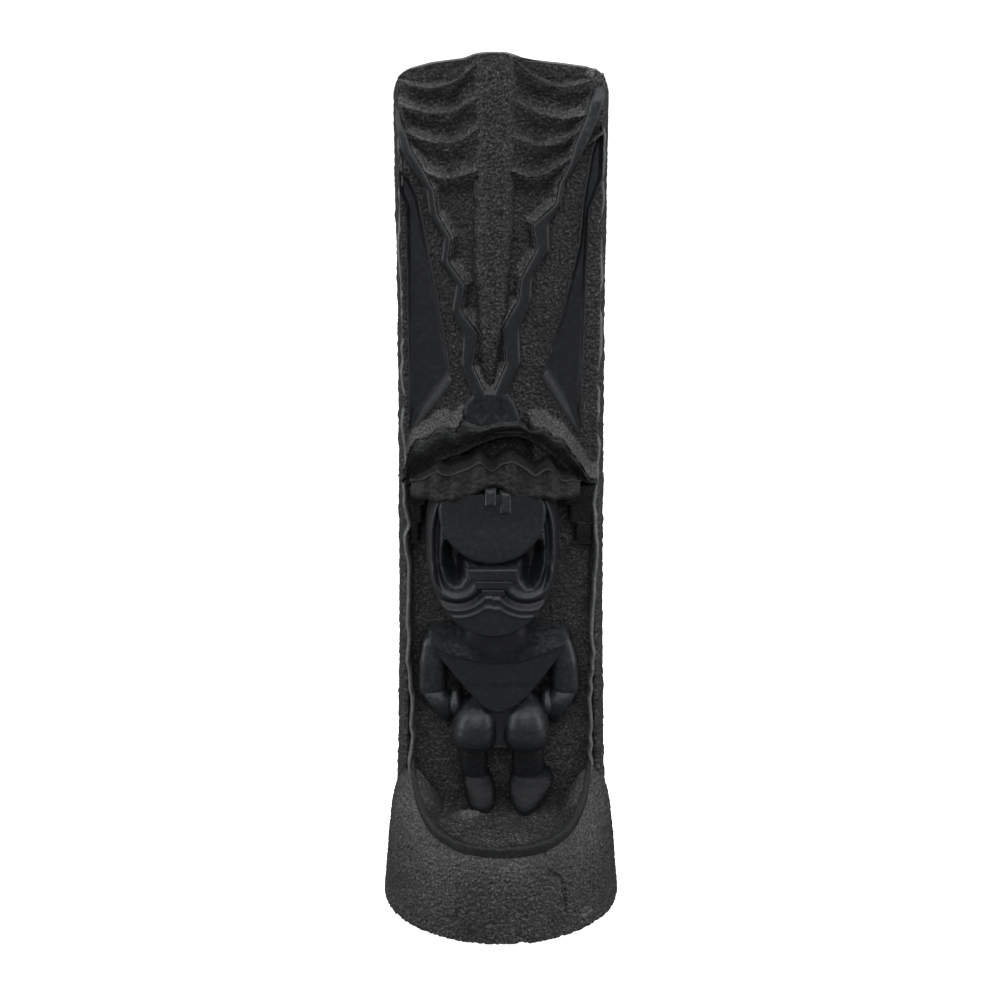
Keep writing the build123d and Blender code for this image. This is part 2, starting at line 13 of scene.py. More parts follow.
import bpy
import numpy as np
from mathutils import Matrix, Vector

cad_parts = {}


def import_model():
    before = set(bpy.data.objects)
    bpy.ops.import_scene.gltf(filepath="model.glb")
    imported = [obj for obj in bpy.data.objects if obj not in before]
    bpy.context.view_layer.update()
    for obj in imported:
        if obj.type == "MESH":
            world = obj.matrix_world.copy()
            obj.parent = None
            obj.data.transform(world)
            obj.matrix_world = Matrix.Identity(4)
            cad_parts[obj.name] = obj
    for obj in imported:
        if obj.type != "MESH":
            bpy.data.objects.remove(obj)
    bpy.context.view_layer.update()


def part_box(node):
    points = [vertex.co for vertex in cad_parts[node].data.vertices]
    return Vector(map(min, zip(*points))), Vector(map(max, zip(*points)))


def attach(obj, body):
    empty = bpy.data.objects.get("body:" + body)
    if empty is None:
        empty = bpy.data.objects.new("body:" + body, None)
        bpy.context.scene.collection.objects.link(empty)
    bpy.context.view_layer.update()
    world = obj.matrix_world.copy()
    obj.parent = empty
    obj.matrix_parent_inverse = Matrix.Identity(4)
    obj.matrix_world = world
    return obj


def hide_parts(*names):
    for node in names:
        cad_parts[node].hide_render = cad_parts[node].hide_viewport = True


Array = np.ndarray
Curve = tuple[tuple[float, float], ...]
Triples = tuple[tuple[float, float, float], ...]

MM = 0.001
TURN = 2 * math.pi
BODY = "root"
SHARP = 62.0  # degrees between two faces past which their edge is left sharp
FACING = 0.15  # how much dust and painted top light a face that looks straight up takes where a piece doesn't say
EXPOSURE = 1.6  # how fast "worn" grows with convexity
log = logging.getLogger("tiki_figure")


class Side(Enum):
    """The viewer's left or right, with the sign of x on that side."""

    LEFT = -1
    RIGHT = 1

    @property
    def word(self) -> str:
        """The side's name as the CAD nodes write it."""
        return self.name.lower()


# ---- Curves, distances and noise ---------------------------------------------------------------


def smooth(value: Array, low: float, high: float) -> Array:
    """Rise from 0 at low to 1 at high along 3t^2 - 2t^3."""
    t = np.clip((np.asarray(value, float) - low) / (high - low), 0, 1)
    return t * t * (3 - 2 * t)


def follow(at: Array, curve: Curve, blur: float = 0.0) -> Array:
    """Read a curve of (place, value) knots, straight between them.

    Args:
        at: places to read it at.
        curve: knots in rising order of place.
        blur: half the width of the running mean that rounds its corners.

    Returns:
        The values, the mean of seven readings from at - blur to at + blur.
    """
    places, values = np.array(curve, float).T
    steps = np.linspace(-blur, blur, 7) if blur else [0.0]
    return sum(np.interp(np.asarray(at, float) + step, places, values) for step in steps) / len(steps)


def roll(distance: Array, radius: float) -> Array:
    """Height 0..1 of a rounded edge at a distance inside it: sqrt(1 - (1 - d/r)^2), then level."""
    t = np.clip(np.asarray(distance, float) / radius, 0, 1)
    return np.sqrt(1 - (1 - t) ** 2)


def signed_power(value: Array, power: Array | float) -> Array:
    """A value's size raised to a power, with the value's sign."""
    return np.sign(value) * np.abs(value) ** power


def length_along(path: Array) -> Array:
    """Distance walked from a path's first point to each of its points."""
    return np.concatenate([[0], np.cumsum(np.linalg.norm(np.diff(path, axis=0), axis=1))])


def edge_distance(x: Array, z: Array, outline: Curve, closed: bool = True) -> Array:
    """Distance from points to an outline, in mm.

    Args:
        x: the points' x.
        z: the points' z.
        outline: corners in order.
        closed: whether the last corner joins the first; then points inside count positive, outside negative.

    Returns:
        The least distance to any straight stretch, signed by the even-odd rule when closed.
    """
    corners = np.array(outline, float)
    ends = np.roll(corners, -1, axis=0) if closed else corners[1:]
    least = np.full(np.shape(x), 1e9)
    inside = np.zeros(np.shape(x), bool)
    for (x0, z0), (x1, z1) in zip(corners, ends):
        length = (x1 - x0) ** 2 + (z1 - z0) ** 2
        along = np.clip(((x - x0) * (x1 - x0) + (z - z0) * (z1 - z0)) / length, 0, 1)
        least = np.minimum(least, np.hypot(x - x0 - along * (x1 - x0), z - z0 - along * (z1 - z0)))
        crosses = (z0 > z) != (z1 > z)
        slope = (x1 - x0) / (z1 - z0) if z1 != z0 else 0.0
        inside ^= crosses & (x < x0 + (z - z0) * slope)
    return np.where(inside, least, -least) if closed else least


def scatter(cells: Array, seed: int) -> Array:
    """A fixed random number 0..1 for each whole-numbered cell: the fraction of a large multiple of a sine."""
    return np.mod(np.sin(cells @ np.array([12.9898, 78.233, 37.719]) + seed * 17.13) * 43758.5453, 1.0)


def swell(points: Array, size: float, seed: int = 1) -> Array:
    """Soft random height: random values at cell corners, blended across each cell by 3t^2 - 2t^3.

    Args:
        points: places in mm, their coordinates last.
        size: mm across a cell.
        seed: picks the pattern.

    Returns:
        A height from -1 to 1 for each point.
    """
    scaled = points / size
    cell = np.floor(scaled)
    t = scaled - cell
    t = t * t * (3 - 2 * t)
    total = np.zeros(points.shape[:-1])
    for corner in np.ndindex(2, 2, 2):
        weight = np.prod(np.where(np.array(corner, bool), t, 1 - t), axis=-1)
        total += weight * scatter(cell + np.array(corner), seed)
    return 2 * total - 1


def grains(points: Array, size: float, seed: int = 1) -> Array:
    """Packed round grains: distance to the nearest of one random point in each cell.

    Args:
        points: places in mm, their coordinates last.
        size: mm across a cell.
        seed: picks the pattern.

    Returns:
        The distance in cells, 0 at a grain's middle.
    """
    scaled = points / size
    cell = np.floor(scaled)
    nearest = np.full(points.shape[:-1], 9.0)
    for offset in np.ndindex(3, 3, 3):
        near = cell + np.array(offset) - 1
        spot = near + np.stack([scatter(near, seed + turn) for turn in range(3)], axis=-1)
        nearest = np.minimum(nearest, np.linalg.norm(scaled - spot, axis=-1))
    return nearest


# ---- Meshes ------------------------------------------------------------------------------------


def grid_normals(grid: Array, wrap: bool) -> Array:
    """Unit normals of a grid: the cross product of its steps along a row and up a column.

    Args:
        grid: rows x columns x 3 points.
        wrap: whether each row closes on itself.

    Returns:
        One unit vector for each point, to the left of the row when its columns go up.
    """
    if wrap:
        across = np.roll(grid, -1, axis=1) - np.roll(grid, 1, axis=1)
    else:
        across = np.gradient(grid, axis=1)
    normal = np.cross(across, np.gradient(grid, axis=0))
    return normal / np.maximum(np.linalg.norm(normal, axis=-1, keepdims=True), 1e-9)


def grid_quads(rows: int, columns: int, wrap: bool) -> Array:
    """Number the four corners of each cell of a grid.

    Args:
        rows: points up the grid.
        columns: points along a row.
        wrap: whether each row closes on itself.

    Returns:
        n x 4 point numbers, anticlockwise when rows go right and columns go up.
    """
    row = np.arange(rows - 1)[:, None] * columns
    column = np.arange(columns if wrap else columns - 1)[None, :]
    after = (column + 1) % columns
    return np.stack([row + column, row + after, row + columns + after, row + columns + column], -1).reshape(-1, 4)


def convexity(points: Array, quads: Array, normals: Array) -> Array:
    """How far each point stands out of its neighbours' mean along its normal, over the mean edge length.

    Args:
        points: n x 3, in mm.
        quads: corner numbers of the faces between them.
        normals: n x 3 unit vectors.

    Returns:
        A share for each point, above 0 on edges and below 0 in hollows.
    """
    edges = np.concatenate([quads[:, [0, 1]], quads[:, [1, 2]], quads[:, [2, 3]], quads[:, [3, 0]]])
    total = np.zeros_like(points)
    count = np.zeros(len(points))
    for one, two in ((0, 1), (1, 0)):
        np.add.at(total, edges[:, one], points[edges[:, two]])
        np.add.at(count, edges[:, one], 1)
    out = points - total / np.maximum(count, 1)[:, None]
    spacing = np.linalg.norm(points[edges[:, 0]] - points[edges[:, 1]], axis=1).mean()
    return np.einsum("ij,ij->i", out, normals) / spacing


def solid(name: str, points: Array, quads: Array, caps: list[list[int]], up: Array | None = None) -> bpy.types.Object:
    """Make a closed mesh object and note on each of its points how exposed it is.

    Args:
        name: the object's name.
        points: n x 3, in mm.
        quads: n x 4 corner numbers.
        caps: flat end faces of many corners.
        up: how far the first points face up, 0..1, where the roughened mesh shouldn't say so itself.

    Returns:
        The object, its faces outwards, with attributes "worn" (0 in hollows, 1 on edges) and "up" (facing up), which
        the finishes show as dust and painted top light.
    """
    fans = [np.array([[cap[0], a, b] for a, b in zip(cap[1:], cap[2:])]) for cap in caps]
    triangles = np.concatenate([quads[:, [0, 1, 2]], quads[:, [0, 2, 3]], *fans])
    corners = points[triangles]
    volume = np.einsum("ij,ij->i", corners[:, 0], np.cross(corners[:, 1], corners[:, 2])).sum()
    if volume < 0:
        quads, caps = quads[:, ::-1], [cap[::-1] for cap in caps]
    mesh = bpy.data.meshes.new(name)
    mesh.from_pydata((points * MM).tolist(), [], quads.tolist() + caps)
    mesh.shade_smooth()
    mesh.set_sharp_from_angle(angle=math.radians(SHARP))
    normals = np.zeros(len(points) * 3)
    mesh.vertex_normals.foreach_get("vector", normals)
    normals = normals.reshape(-1, 3)
    facing = FACING * np.clip(normals[:, 2], 0, 1)
    if up is not None:
        facing[: up.size] = np.clip(up.ravel(), 0, 1)
    for attribute, values in (
        ("worn", np.clip(0.5 + EXPOSURE * convexity(points, quads, normals), 0, 1)),
        ("up", facing),
    ):
        mesh.attributes.new(attribute, "FLOAT", "POINT").data.foreach_set("value", values.astype(np.float32))
    made = bpy.data.objects.new(name, mesh)
    bpy.context.scene.collection.objects.link(made)
    return made


def plate(name: str, front: Array, back: float, up: Array | None = None) -> bpy.types.Object:
    """Close a relief with walls from its edge to a flat back.

    Args:
        name: the object's name.
        front: rows from bottom to top of points from left to right, in mm.
        back: y of the flat back.
        up: how far each point of the relief faces up, 0..1.

    Returns:
        The closed object.
    """
    rows, columns, _ = front.shape
    number = np.arange(rows * columns).reshape(rows, columns)
    edge = np.concatenate([number[0], number[1:, -1], number[-1, -2::-1], number[-2:0:-1, 0]])
    rear = front.reshape(-1, 3)[edge].copy()
    rear[:, 1] = back
    behind = rows * columns + np.arange(len(edge))
    walls = np.stack([np.roll(edge, -1), edge, behind, np.roll(behind, -1)], -1)
    quads = np.concatenate([grid_quads(rows, columns, False), walls])
    return solid(name, np.concatenate([front.reshape(-1, 3), rear]), quads, [behind[::-1].tolist()], up)


def drum(name: str, rings: Array, up: Array | None = None) -> bpy.types.Object:
    """Close a stack of rings with a flat face at each end.

    Args:
        name: the object's name.
        rings: rows of points round the piece, in mm.
        up: how far each point of the first rows faces up, 0..1.

    Returns:
        The closed object.
    """
    rows, columns, _ = rings.shape
    last = np.arange((rows - 1) * columns, rows * columns)
    caps = [list(range(columns))[::-1], last.tolist()]
    return solid(name, rings.reshape(-1, 3), grid_quads(rows, columns, True), caps, up)


def spread(low: Array, high: Array, count: int, crowd: float = 0.0) -> Array:
    """Places from low to high, crowded towards both ends by mixing even steps with (1 - cos(pi t)) / 2.

    Args:
        low: where each row starts.
        high: where it ends.
        count: places in a row.
        crowd: share of the cosine in the mix.

    Returns:
        The places, one row for each start.
    """
    t = np.linspace(0, 1, count)
    t = (1 - crowd) * t + crowd * (0.5 - 0.5 * np.cos(math.pi * t))
    return np.asarray(low)[..., None] * (1 - t) + np.asarray(high)[..., None] * t


def oval_ring(centre: Array, half: Array, power: Array, columns: int) -> Array:
    """Level rings in the form |x/a|^p + |y/b|^p = 1, one for each row.

    Args:
        centre: rows x 3 points.
        half: rows x 2 half widths, along x and y.
        power: p for each row, 2 an ellipse and higher nearer a rectangle.
        columns: points in a ring.

    Returns:
        rows x columns x 3 points.
    """
    angle = np.linspace(0, TURN, columns, endpoint=False)[None, :]
    bend = 2 / np.asarray(power, float)[:, None]
    x, y = signed_power(np.cos(angle), bend), signed_power(np.sin(angle), bend)
    ring = np.repeat(centre[:, None, :], columns, axis=1)
    ring[..., 0] += half[:, :1] * x
    ring[..., 1] += half[:, 1:] * y
    return ring


# ---- Finishes ----------------------------------------------------------------------------------


def linear(colour: str) -> tuple[float, float, float, float]:
    """Turn an sRGB colour such as "2c2e30" into the linear RGBA that Blender's sockets take."""
    parts = [int(colour[i : i + 2], 16) / 255 for i in (0, 2, 4)]
    return (*[c / 12.92 if c <= 0.04045 else ((c + 0.055) / 1.055) ** 2.4 for c in parts], 1.0)


def node(
    tree: bpy.types.NodeTree, kind: str, inputs: dict[str | int, object] | None = None, **settings: object
) -> bpy.types.Node:
    """Add a node.

    Args:
        tree: the material's node tree.
        kind: the node's type, without "ShaderNode".
        inputs: for each input's name or number, a value or the output to link to it.
        settings: properties of the node itself.

    Returns:
        The new node.
    """
    made = tree.nodes.new("ShaderNode" + kind)
    for key, value in settings.items():
        setattr(made, key, value)
    for key, value in (inputs or {}).items():
        if isinstance(value, bpy.types.NodeSocket):
            tree.links.new(value, made.inputs[key])
        else:
            made.inputs[key].default_value = value
    return made


def fresh_tree(name: str) -> tuple[bpy.types.Material, bpy.types.NodeTree]:
    """Make an empty node material.

    Args:
        name: the material's name.

    Returns:
        The material and its node tree.
    """
    material = bpy.data.materials.new(name)
    material.use_nodes = True
    material.node_tree.nodes.clear()
    return material, material.node_tree


CLOUD = 14.0  # mm across a cloudy patch of the resin's mix


@dataclass(frozen=True)
class CastStone:
    """Crushed dark stone in resin, poured in a mould: near-black, paler where it is rubbed or dusty, and where top
    light is painted on.
    """

    name: str
    slot: str
    body: str  # sRGB of the stone itself
    pale: str  # sRGB of rubbed edges, and of dust and painted top light on what faces up
    mottle: float  # how much of the pale colour single grains take
    rub: float  # how much of the pale colour an edge takes
    dust: float  # how much of it a face that looks up takes, as dust and painted top light
    roughness: float
    uneven: float  # how far the roughness wanders
    specular: float
    grain: float  # mm across one grain of stone
    bump: float  # mm, height of the grain the mesh itself doesn't hold

    def material(self) -> bpy.types.Material:
        """Build the node material on Object coordinates and the mesh's own "worn" and "up" attributes.

        Share of the pale colour = (edge + settled dust and painted top light + salt) * patch * speck, held within 0..1.
        """
        material, tree = fresh_tree(self.name)
        place = node(tree, "TexCoord").outputs["Object"]
        worn = node(tree, "Attribute", attribute_name="worn").outputs["Fac"]
        up = node(tree, "Attribute", attribute_name="up").outputs["Fac"]
        fine = {"Vector": place, "Scale": 1 / (self.grain * MM), "Detail": 3.0, "Roughness": 0.62}
        grit = node(tree, "TexNoise", fine).outputs["Fac"]
        cloud = node(tree, "TexNoise", {"Vector": place, "Scale": 1 / (CLOUD * MM), "Detail": 2.0}).outputs["Fac"]
        hole = {"Vector": place, "Scale": 1 / (1.3 * self.grain * MM)}
        pores = node(tree, "TexVoronoi", hole, feature="F1").outputs["Distance"]
        smoother, rougher = self.roughness - self.uneven, self.roughness + self.uneven
        edge, settled_and_lit, patch, speck, salt, sheen = (
            node(tree, "MapRange", {"Value": source, 1: low, 2: high, 3: least, 4: most}).outputs[0]
            for source, low, high, least, most in (
                (worn, 0.52, 0.95, 0.0, self.rub),
                (up, 0.15, 0.9, 0.0, self.dust),
                (cloud, 0.3, 0.7, 0.55, 1.15),
                (grit, 0.35, 0.68, 0.25, 1.45),
                (grit, 0.5, 0.7, 0.0, self.mottle),
                (grit, 0.3, 0.7, smoother, rougher),
            )
        )
        share = edge
        for operation, other in (("ADD", settled_and_lit), ("ADD", salt), ("MULTIPLY", patch), ("MULTIPLY", speck)):
            last = other is speck
            share = node(tree, "Math", {0: share, 1: other}, operation=operation, use_clamp=last).outputs[0]
        tones = {"Factor": share, 6: linear(self.body), 7: linear(self.pale)}
        colour = node(tree, "Mix", tones, data_type="RGBA").outputs[2]
        height = node(tree, "Math", {0: grit, 1: pores}, operation="SUBTRACT").outputs[0]
        bump = node(tree, "Bump", {"Height": height, "Distance": self.bump * MM, "Strength": 1.0}).outputs[0]
        surface = {
            "Base Color": colour,
            "Roughness": sheen,
            "Normal": bump,
            "IOR": 1.5,
            "Specular IOR Level": self.specular,
        }
        shader = node(tree, "BsdfPrincipled", surface)
        node(tree, "OutputMaterial", {"Surface": shader.outputs[0]})
        return material


@dataclass(frozen=True)
class WoolFelt:
    """Pressed wool felt: short crossed fibres that give no highlight, only a faint pale fuzz at a low angle."""

    name: str = "pressed_wool_felt"
    slot: str = "felt"
    body: str = "1d1e20"
    tip: str = "2f3033"  # sRGB of the fibres that stand up
    fibre: float = 0.5  # mm, drawn coarser than the real 0.02 mm fibre, so that it shows
    nap: float = 0.15  # mm, height of the fibres

    def material(self) -> bpy.types.Material:
        """Build the node material: two stretched noises crossed at right angles."""
        material, tree = fresh_tree(self.name)
        place = node(tree, "TexCoord").outputs["Object"]
        scale = 1 / (self.fibre * MM)
        heights = []
        for stretch in ((scale, scale / 5, scale), (scale / 5, scale, scale)):
            turned = node(tree, "Mapping", {"Vector": place, "Scale": stretch}).outputs[0]
            heights.append(node(tree, "TexNoise", {"Vector": turned, "Scale": 1.0, "Detail": 2.0}).outputs["Fac"])
        fibres = node(tree, "Math", {0: heights[0], 1: heights[1]}, operation="MAXIMUM").outputs[0]
        tones = {"Factor": fibres, 6: linear(self.body), 7: linear(self.tip)}
        tone = node(tree, "Mix", tones, data_type="RGBA").outputs[2]
        bump = node(tree, "Bump", {"Height": fibres, "Distance": self.nap * MM}).outputs[0]
        surface = {"Base Color": tone, "Roughness": 0.95, "Sheen Weight": 0.4, "Sheen Roughness": 0.5, "Normal": bump}
        shader = node(tree, "BsdfPrincipled", surface)
        node(tree, "OutputMaterial", {"Surface": shader.outputs[0]})
        return material


# Skin of the casting where the mould was smooth: near-black with soft broad highlights, and grey dust with painted top
# light on its tops.
POLISHED = CastStone(
    name="cast_stone_polished",
    slot="cast_smooth",
    body="17191d",
    pale="424749",
    mottle=0.1,
    rub=0.6,
    dust=0.9,
    roughness=0.46,
    uneven=0.07,
    specular=0.5,
    grain=1.2,
    bump=0.05,
)
# Painted highlight on the niche's thin rims: a pale stone colour that draws the bright wavy line of light along the
# niche.
PAINTED_RIM_HIGHLIGHT = CastStone(
    name="cast_stone_rubbed_edge",
    slot="cast_smooth",
    body="5c5e5f",
    pale="9a9c9a",
    mottle=0.3,
    rub=0.9,
    dust=0.3,
    roughness=0.34,
    uneven=0.06,
    specular=0.6,
    grain=1.2,
    bump=0.05,
)
# Stone left open and granular: a dull charcoal salted with pale grains, lighter on crests than in its pits.
PITTED = CastStone(
    name="cast_stone_pitted",
    slot="cast_rough",
    body="1d1e20",
    pale="6a6c68",
    mottle=0.5,
    rub=0.45,
    dust=0.62,
    roughness=0.64,
    uneven=0.14,
    specular=0.42,
    grain=0.62,
    bump=0.28,
)
# Skin with a dry bloom on it, as in the bands and the hair: dark grey with almost no highlight.
MATT = CastStone(
    name="cast_stone_matt",
    slot="cast_smooth",
    body="18191b",
    pale="4c4e4e",
    mottle=0.22,
    rub=0.45,
    dust=0.3,
    roughness=0.62,
    uneven=0.1,
    specular=0.38,
    grain=0.9,
    bump=0.12,
)
# Painted shade for the calves and feet under the thighs: the darkest skin of all, clean and dull, a colour that stands
# in for the shade there.
PAINTED_SHADE = replace(
    MATT,
    name="cast_stone_painted_shade",
    body="101215",
    pale="2e3032",
    mottle=0.2,
    rub=0.5,
    dust=0.1,
    roughness=0.58,
    uneven=0.08,
    specular=0.3,
    bump=0.1,
)
FELT = WoolFelt()
Finish = CastStone | WoolFelt


class Palette:
    """Keeps one material for each finish."""

    made: dict[str, bpy.types.Material] = {}

    @classmethod
    def dress(cls, piece: bpy.types.Object, finish: Finish, replaced: tuple[str, ...]) -> bpy.types.Object:
        """Give a piece its material, its body and the CAD nodes that it stands for.

        Args:
            piece: the mesh object.
            finish: what its surface is.
            replaced: names of the CAD nodes.

        Returns:
            The same object.
        """
        if finish.name not in cls.made:
            cls.made[finish.name] = finish.material()
        piece.data.materials.append(cls.made[finish.name])
        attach(piece, BODY)
        if replaced:
            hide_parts(*replaced)
        log.info("%s: %d points, stands for %s", piece.name, len(piece.data.vertices), ", ".join(replaced) or "none")
        return piece


def press(grid: Array, depth: float, grain: float, seed: int, wrap: bool = False) -> Array:
    """Roughen a grid inwards with grains, lumps and pits, so that it never grows.

    Args:
        grid: rows x columns x 3 points in mm, its normals outwards.
        depth: how deep the valleys between grains are, in mm.
        grain: mm across a grain.
        seed: picks the pattern.
        wrap: whether the rows close on themselves.

    Returns:
        The grid pressed in by depth * (0.9 g^1.4 + 0.5 lump + 1.3 pit).
    """
    valley = np.clip(grains(grid, grain, seed), 0, 1) ** 1.4
    lump = 0.5 + 0.5 * swell(grid, 5 * grain, seed + 4)
    pit = np.clip(swell(grid, 2.1 * grain, seed + 8) - 0.3, 0, 1)
    amount = depth * (0.9 * valley + 0.5 * lump + 1.3 * pit)
    return grid - grid_normals(grid, wrap) * amount[..., None]


def hand_work(grid: Array, amount: float, seed: int, wrap: bool = False) -> Array:
    """Let a smooth grid wander inwards by up to amount mm in swells of 7 and 2.5 mm, as a carved master does."""
    wander = 0.7 * (0.5 + 0.5 * swell(grid, 7.0, seed)) + 0.3 * (0.5 + 0.5 * swell(grid, 2.5, seed + 3))
    return grid - grid_normals(grid, wrap) * (amount * wander)[..., None]


# ---- Datums from the CAD model -----------------------------------------------------------------


@dataclass(frozen=True)
class Datums:
    """Heights and depths in mm, read from the boxes of the CAD nodes."""

    felt_top: float
    ledge: float
    floor: float
    knee: float
    shoulder: float
    niche: float
    crown: float
    rim_front: float
    niche_back: float
    back: float
    foot_half: float
    niche_half: float
    base_half: float
    base_depth: float

    @classmethod
    def read(cls) -> "Datums":
        """Take each datum from the node that it belongs to."""

        def low(name: str) -> Vector:
            """A node's lowest corner in mm."""
            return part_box(name)[0] / MM

        def high(name: str) -> Vector:
            """A node's highest corner in mm."""
            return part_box(name)[1] / MM

        return cls(
            felt_top=high("felt_pad").z,
            ledge=low("platform").z,
            floor=high("platform").z,
            knee=low("left_thigh").z,
            shoulder=high("torso").z,
            niche=low("headdress_ground").z,
            crown=high("midrib").z,
            rim_front=low("left_niche_wall").y,
            niche_back=low("column_back").y,
            back=high("column_back").y,
            foot_half=high("column_back").x,
            niche_half=low("right_niche_wall").x,
            base_half=high("base_rock").x,
            base_depth=high("base_rock").y,
        )


# ---- Base --------------------------------------------------------------------------------------


@dataclass
class Base:
    """Felt pad, rock, platform and the smooth lip that runs from one niche rim round the platform to the other."""

    at: Datums
    lip_plan: Triples = (  # x, y and height above the ledge of the lip's foot
        (0.0, -24.2, 0.0),
        (7.7, -22.9, 0.1),
        (12.0, -20.9, 0.3),
        (16.2, -17.9, 1.2),
        (18.7, -15.5, 2.3),
        (20.8, -12.6, 3.8),
        (22.4, -9.4, 5.8),
        (23.6, -5.9, 8.0),
        (24.4, -2.2, 10.6),
        (24.9, 2.4, 13.4),
    )
    lip_height: float = 3.3
    lip_drop: float = 0.7  # how far its foot reaches below the rock's top edge
    lip_width: float = 2.4
    column_foot: float = 11.5  # where the column leaves the rock, above the ledge
    toe: float = 0.3  # the rock's edge hangs this far above the surface, round the sunk pad
    foot_round: float = 0.5  # rounding at the rock's lower edge
    crack: Curve = ((13.0, 20.6), (16.0, 18.2), (17.3, 15.0), (17.7, 7.6))  # x and z down the rock's front
    crack_width: float = 0.5
    chip: tuple[float, float] = (23.6, 5.4)  # x and z of a small pale chip
    chip_half: tuple[float, float] = (2.1, 1.3)
    shrink: float = 0.009  # share by which the rock's slow swells draw it in
    mound: tuple[float, float] = (-9.0, -6.0)  # x and y of a low mound beside the left foot
    mound_half: tuple[float, float] = (5.5, 3.0)
    mound_height: float = 1.6
    columns: int = 620  # grid points round the rock
    felt_columns: int = 200
    lip_stations: int = 300
    lip_columns: int = 28
    rough: float = 0.58  # mm, how deep the rock's valleys are
    rough_floor: float = 0.42  # the same for the platform
    grain: float = 0.8  # mm across a grain of either

    def lip_path(self, count: int) -> Array:
        """Walk along the lip's foot from left to right.

        Args:
            count: how many points, evenly spaced.

        Returns:
            count x 3 points in mm.
        """
        right = np.array(self.lip_plan)
        path = np.concatenate([right[:0:-1] * (-1, 1, 1), right])
        along = length_along(path)
        even = np.linspace(0, along[-1], count)
        path = np.stack([follow(even, tuple(zip(along, path[:, i])), 1.2) for i in range(3)], -1)
        return path + (0, 0, self.at.ledge)

    def build(self) -> None:
        """Make the four pieces."""
        self.felt()
        self.rock()
        self.platform()
        self.lip()

    def felt(self) -> None:
        """A pressed felt pad under the base: an oval in section (inset, rise) with a softened edge."""
        low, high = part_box("felt_pad")
        half = np.array([(high.x - low.x) / 2, (high.y - low.y) / 2]) / MM
        thickness = self.at.felt_top
        rise = np.array([0.02, 0.0, 0.25, 0.75, 1.0, 0.99]) * thickness
        inset = np.array([4.0, 0.4, 0.0, 0.0, 0.4, 4.0])
        centre = np.stack([0 * rise, 0 * rise, rise], -1)
        rings = oval_ring(centre, half - inset[:, None], np.full(len(rise), 2.0), self.felt_columns)
        rings[..., :2] *= 1 - 0.004 * (1 + swell(rings, 4.0, 3))[..., None]
        pad = Palette.dress(drum("glued_felt_pad", rings), FELT, ("felt_pad",))

    def rock(self) -> None:
        """The rock from the pad up to the lip in front and to the column's foot behind.

        Row s of the side runs from the foot oval to the top edge: plan = foot + (top - foot)(0.34 s + 0.66 s^6).
        The top edge is read by bearing from a loop of the lip's foot and the column's foot. The crack and the
        chip are pressed in by their distance, and a pocket below takes the pad.
        """
        at = self.at
        angle = np.linspace(0, TURN, self.columns, endpoint=False)
        foot = np.stack([at.base_half * np.cos(angle), at.base_depth * np.sin(angle)], -1)
        lip = self.lip_path(400)
        column = np.array(
            [(at.foot_half - 0.8, 6.0), (at.foot_half - 0.6, 15.0), (20.0, at.back - 0.6), (0, at.back - 0.3)]
        )
        behind = np.concatenate([column, column[-2::-1] * (-1, 1)])
        loop = np.concatenate([lip[:, :2], behind])
        lift = np.concatenate([lip[:, 2], np.full(len(behind), at.ledge + self.column_foot)])
        bearing = np.unwrap(np.arctan2(loop[:, 1], loop[:, 0]))
        order = np.argsort(np.mod(bearing, TURN))
        turn = np.mod(bearing, TURN)[order]
        reach = [np.interp(angle, turn, values[order], period=TURN) for values in (*loop.T, lift)]
        top = np.stack(reach[:2], -1)
        rise = np.linspace(0, 1, 120)[:, None]
        share = (0.34 * rise + 0.66 * rise**6)[..., None]
        plan = foot + (top - foot) * share
        tuck = self.foot_round * (1 - roll(rise * reach[2], self.foot_round * 3))
        plan *= (1 - tuck / at.base_half)[..., None]
        z = self.toe + (reach[2] - self.toe) * rise
        side = np.concatenate([plan, z[..., None]], -1)
        wander = 0.5 + 0.5 * swell(side, 9.0, 5)
        side[..., :2] *= 1 - self.shrink * wander[..., None]
        ahead = side[..., 1] < 0
        chip = np.linalg.norm((side[..., ::2] - self.chip) / self.chip_half, axis=-1)
        chipped = smooth(chip + 0.4 * swell(side, 1.1, 6), 1.1, 0.7) * ahead
        facing = grid_normals(side, True)
        # up: dust and the pale chip, with painted light on faces turned up and towards the front; the crack is darker.
        up = 0.12 + 0.26 * np.clip(-facing[..., 1], 0, 1) ** 2 + 0.5 * facing[..., 2] + chipped
        split = edge_distance(side[..., 0], side[..., 2], self.crack, closed=False)
        split = smooth(split, self.crack_width, 0.1) * ahead
        side[..., :2] *= (1 - 0.014 * split - 0.012 * chipped)[..., None]
        up = up * (1 - split)
        side = press(side, self.rough, self.grain, 11, wrap=True)
        inner = side[-1:] * (0.93, 0.93, 1) - (0, 0, 1.2)
        core = side[-1:] * (0.5, 0.5, 0) + (0, 0, at.ledge - 2)
        pocket = side[:1] * (0.92, 0.92, 0) + (0, 0, self.toe)
        ceiling = pocket + (0, 0, at.felt_top - self.toe)
        rings = np.concatenate([ceiling, pocket, side, inner, core])
        up = np.concatenate([0 * up[:2], up])
        stands_for = ("base_rock", "left_rock_shoulder", "right_rock_shoulder")
        Palette.dress(drum("rock_base", rings, up), PITTED, stands_for)

